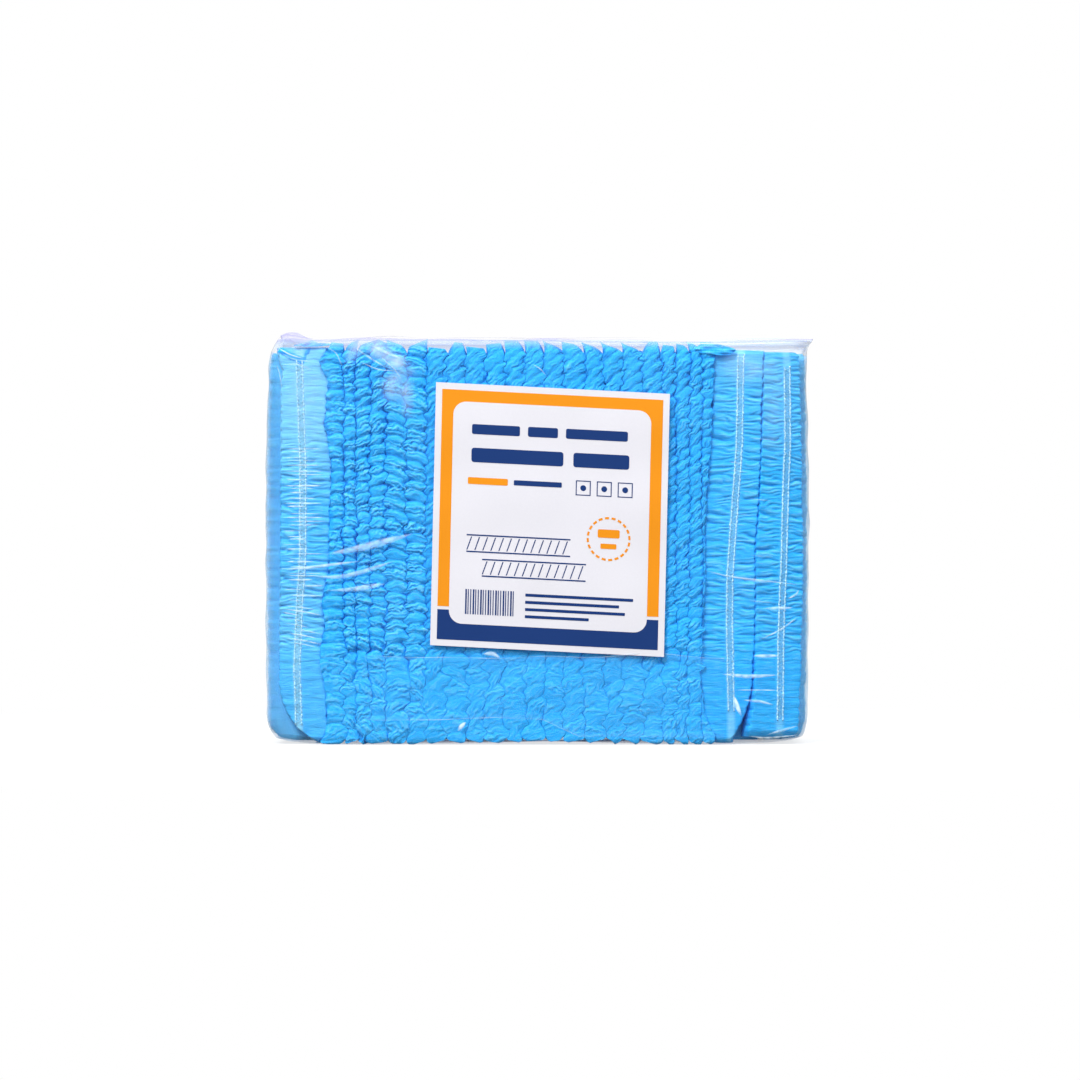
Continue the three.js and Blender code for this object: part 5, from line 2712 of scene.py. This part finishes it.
    def build(self) -> Piece:
        """Makes the label: its paper, its printed areas and its marks.

        Returns:
            The piece.
        """
        mesh = PieceMesh()
        self.paper(mesh)
        edge, band = self.border, self.frame_width
        width, height = self.width - 2 * edge, self.height - 2 * edge
        above = self.foot_height + self.frame_gap
        self.block(edge, edge + above, width, height - above, mesh, Ink.ORANGE, 1)
        self.block(edge, edge, width, self.foot_height, mesh, layer=1)
        left, low = edge + band, edge + self.foot_height * self.foot_shown
        width, height = width - 2 * band, height - band - self.foot_height * self.foot_shown
        self.bar(left, low, width, height, mesh, Ink.PAPER, 2, self.panel_radius)
        self.marks(left, low, width, height, mesh)
        return fit_to_frame(mesh.build("paper_label", self.inks), "label_paper", self.node)

    def paper(self, into: PieceMesh) -> None:
        """Adds the sheet itself, closed by a thin rim and a back.

        Args:
            into: the mesh that it is added to.
        """
        wide, high = np.meshgrid(np.linspace(0, self.width, 40), np.linspace(0, self.height, 46))
        front = self.place(wide, high, 0)
        back = front + [0, self.thickness, 0]
        faces = grid_faces(*wide.shape)
        into.add(front, faces)
        into.add(back, turned(faces))
        every = slice(None)
        for side, flipped in ((0, True), (-1, False), ((every, 0), False), ((every, -1), True)):
            strip = grid_faces(2, len(front[side]))
            into.add(np.concatenate([front[side], back[side]]), turned(strip) if flipped else strip)

    def marks(self, left: float, low: float, width: float, height: float, into: PieceMesh) -> None:
        """Prints the generic marks: bars for words, squares, pleats, a ring and a stripe block.

        Args:
            left: the white panel's left side, in mm from the label's lower left corner.
            low: its lower side.
            width: how wide it is.
            height: how high it is.
            into: the mesh that they are added to.
        """
        top, middle, right = low + height, left + width / 2, left + width
        for start, length in ((-40, 24), (-12, 15), (7, 31)):
            self.bar(middle + start, top - 16, length, 5.0, into)
        for start, length in ((-40, 46), (11, 28)):
            self.bar(middle + start, top - 30, length, 7.2, into)
        self.bar(left + 8, top - 41, 20, 3.4, into, Ink.ORANGE)
        self.bar(left + 31, top - 40.6, 24, 2.6, into)
        for box in range(3):
            self.square(left + 62 + 10.5 * box, top - 44, 7.5, into)
        self.pleats(left + 8, low + 36, 52, 9.0, 13, into)
        self.pleats(left + 16, low + 24, 52, 9.0, 13, into)
        self.ring(right - 20, low + 46, 11.0, 1.1, 20, into)
        self.bar(right - 25.5, low + 46.5, 11, 4.2, into, Ink.ORANGE)
        self.bar(right - 24, low + 41, 8, 2.6, into, Ink.ORANGE)
        self.stripes(left + 8, low + 5.0, 25, 12.5, into)
        for line, length in enumerate((54, 47, 50, 32)):
            self.bar(left + 38, low + 15.2 - 3.6 * line, length, 1.5, into)

    def square(self, left: float, low: float, side: float, into: PieceMesh, line: float = 0.5) -> None:
        """Prints an empty square with a thin outline and a plain dot.

        Args:
            left: its left side, in mm from the label's lower left corner.
            low: its lower side.
            side: how wide and high it is.
            into: the mesh that it is added to.
            line: how wide its outline is.
        """
        self.bar(left, low, side, line, into)
        self.bar(left, low + side - line, side, line, into)
        self.bar(left, low, line, side, into)
        self.bar(left + side - line, low, line, side, into)
        angles = np.linspace(0, 2 * math.pi, 12, endpoint=False)
        self.shape(arc(left + side / 2, low + side / 2, 1.5, angles), into)

    def pleats(
        self, left: float, low: float, width: float, height: float, count: int, into: PieceMesh
    ) -> None:
        """Prints a pleated strip as slanted strokes between two level lines.

        Args:
            left: its left side, in mm from the label's lower left corner.
            low: its lower side.
            width: how wide it is.
            height: how high it is.
            count: how many strokes it has.
            into: the mesh that it is added to.
        """
        step = width / count
        foot, top, stroke, line = low + 1.2, low + 1.2 + height - 2.4, 0.55, 0.7
        lean = step * 0.55
        for number in range(count):
            x = left + number * step
            outline = [(x, foot), (x + stroke, foot), (x + lean + stroke, top), (x + lean, top)]
            self.shape(np.array(outline), into)
        self.bar(left, low, width, line, into)
        self.bar(left, low + height - line, width, line, into)

    def stripes(self, left: float, low: float, width: float, height: float, into: PieceMesh) -> None:
        """Prints a block of even upright stripes, every third one thicker, which holds no code.

        Args:
            left: the block's left edge on the label.
            low: its lower edge.
            width: how wide it is.
            height: how tall it is.
            into: the mesh that takes the stripes.
        """
        pitch = 1.25
        for number in range(int(width / pitch)):
            self.block(left + number * pitch, low, 0.5 if number % 3 else 0.8, height, into)


# ---------------------------------------------------------------------------------------------------------
# Studio
# ---------------------------------------------------------------------------------------------------------


@dataclass
class Studio:
    """A white sweep, soft lights and the camera square to the pack's front."""

    lens: float = 150.0
    sensor: float = 36.0
    field_width: float = 540.0
    eye_height: float = 102.5
    eye_across: float = 0.75
    sky: float = 1.27
    room: float = 0.20
    glow: float = 0.7
    half_floor: float = 30.0
    # Name, place and side in metres, and power in watts.
    lights: tuple[tuple[str, tuple[float, float, float], float, float], ...] = (
        ("key", (-1.25, -1.9, 2.2), 0.9, 72.0),
        ("fill", (2.0, -1.9, 0.9), 1.6, 14.0),
        ("top", (0.1, -0.6, 2.3), 1.2, 23.0),
    )

    def build(self, front: float) -> None:
        """Makes the floor, the world, the lights and the camera.

        Args:
            front: how far out the pack's front lies, in mm.
        """
        self.floor()
        self.world()
        for light in self.lights:
            self.light(*light)
        self.camera(front)

    def floor(self) -> None:
        """A plain glowing white floor, as of a light table, with only a faint shadow near the pack."""
        mat = blank_material("white_sweep")
        away = add_node(mat, "ShaderNodeVectorMath", {0: object_place(mat)}, operation="LENGTH")
        far = ramp(mat, away.outputs["Value"], 0.1, 0.5, self.glow, 1.0, interpolation_type="SMOOTHSTEP")
        matt = add_node(mat, "ShaderNodeBsdfDiffuse", {"Color": linear("#FAFAFA")}).outputs[0]
        glow = add_node(mat, "ShaderNodeEmission", {"Color": (1, 1, 1, 1), "Strength": 1.0}).outputs[0]
        set_surface(mat, add_node(mat, "ShaderNodeMixShader", {0: far, 1: matt, 2: glow}))
        half = self.half_floor
        mesh = bpy.data.meshes.new("floor")
        corners = [(-half, -half, 0), (half, -half, 0), (half, half, 0), (-half, half, 0)]
        mesh.from_pydata(corners, [], [[0, 1, 2, 3]])
        mesh.materials.append(mat)
        floor = bpy.data.objects.new("floor", mesh)
        bpy.context.scene.collection.objects.link(floor)
        # The floor takes the pack's shadow but throws no light back up, so the pleats' undersides stay dark.
        floor.visible_diffuse = False

    def world(self) -> None:
        """A white surround, dimmer as a light than it looks, and dimmest low down."""
        world = bpy.data.worlds.new("surround")
        world.use_nodes = True
        world.node_tree.nodes.clear()
        seen = add_node(world, "ShaderNodeLightPath").outputs["Is Camera Ray"]
        heading = add_node(world, "ShaderNodeTexCoord").outputs["Generated"]
        height = add_node(world, "ShaderNodeSeparateXYZ", {0: heading}).outputs["Z"]
        lit = ramp(world, height, -0.3, 0.8, self.room, self.sky)
        strength = add_node(world, "ShaderNodeMix", {"Factor": seen, "A": lit, "B": 1.0}).outputs[0]
        white = add_node(world, "ShaderNodeBackground", {"Color": (1, 1, 1, 1), "Strength": strength})
        add_node(world, "ShaderNodeOutputWorld", {"Surface": white.outputs[0]})
        bpy.context.scene.world = world

    def light(self, name: str, place: tuple[float, float, float], size: float, power: float) -> None:
        """Adds a square soft light that looks at the pack's middle.

        Args:
            name: the light's name.
            place: where it stands, in metres.
            size: its side, in metres.
            power: in watts.
        """
        data = bpy.data.lights.new(name, "AREA")
        data.size = size
        data.energy = power
        lamp = bpy.data.objects.new(name, data)
        lamp.location = place
        aim = Vector((0, 0, self.eye_height * MM)) - lamp.location
        lamp.rotation_euler = aim.to_track_quat("-Z", "Y").to_euler()
        bpy.context.scene.collection.objects.link(lamp)

    def camera(self, front: float) -> None:
        """Adds the camera, level and square to the front, so far off that the field fills its view.

        Args:
            front: how far out the pack's front lies, in mm.
        """
        data = bpy.data.cameras.new("camera")
        data.lens = self.lens
        data.sensor_width = self.sensor
        away = self.field_width * self.lens / data.sensor_width
        camera = bpy.data.objects.new("camera", data)
        camera.location = (self.eye_across * MM, -(front + away) * MM, self.eye_height * MM)
        camera.rotation_euler = (math.radians(90), 0, 0)
        bpy.context.scene.collection.objects.link(camera)
        bpy.context.scene.camera = camera


def main() -> None:
    """Builds the pack's pieces in order and reports each one."""
    logging.basicConfig(level=logging.INFO, format="%(message)s")
    scene = bpy.context.scene
    scene.view_settings.view_transform = "Standard"
    bag = BagForm()
    Studio().build(bag.half_depth - bag.middle_y)
    cloth = SpunbondPolypropylene().make("spunbond_polypropylene")
    elastic = CoveredElastic().make("covered_elastic")
    film = PolyethyleneFilm().make("polyethylene_film")
    # The foot's second layer clings to the first, so the two shine as one and it adds next to no gloss.
    clinging = PolyethyleneFilm(gloss=0.12).make("clinging_film")
    # The creases scatter more than they mirror.
    creased = PolyethyleneFilm(gloss=0.35, roughness=0.3).make("creased_film")
    inks = [
        CoatedPaper().make("coated_paper"),
        CoatedPaper("#E48C06").make("orange_ink"),
        CoatedPaper("#08306C").make("navy_ink"),
    ]
    pieces = [
        *FrontRow(bag, cloth).build(),
        *FlatStrips(bag, cloth, elastic).build(),
        *BackRow(bag, cloth).build(),
        *SideStacks(bag, cloth, elastic).build(),
        Core(cloth).build(),
        FilmBag(bag, film).build(),
        FilmCreases(bag, creased).build(),
        Flap(bag, clinging).build(),
        PaperLabel(bag, inks).build(),
    ]
    for piece in pieces:
        LOG.info("%s: %d faces", piece.name, len(piece.data.polygons))
    meshes = [item for item in scene.objects if item.type == "MESH" and item.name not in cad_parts]
    total = sum(len(face.vertices) - 2 for item in meshes for face in item.data.polygons)
    LOG.info("%d triangles in all", total)


if __name__ == "__main__":
    main()
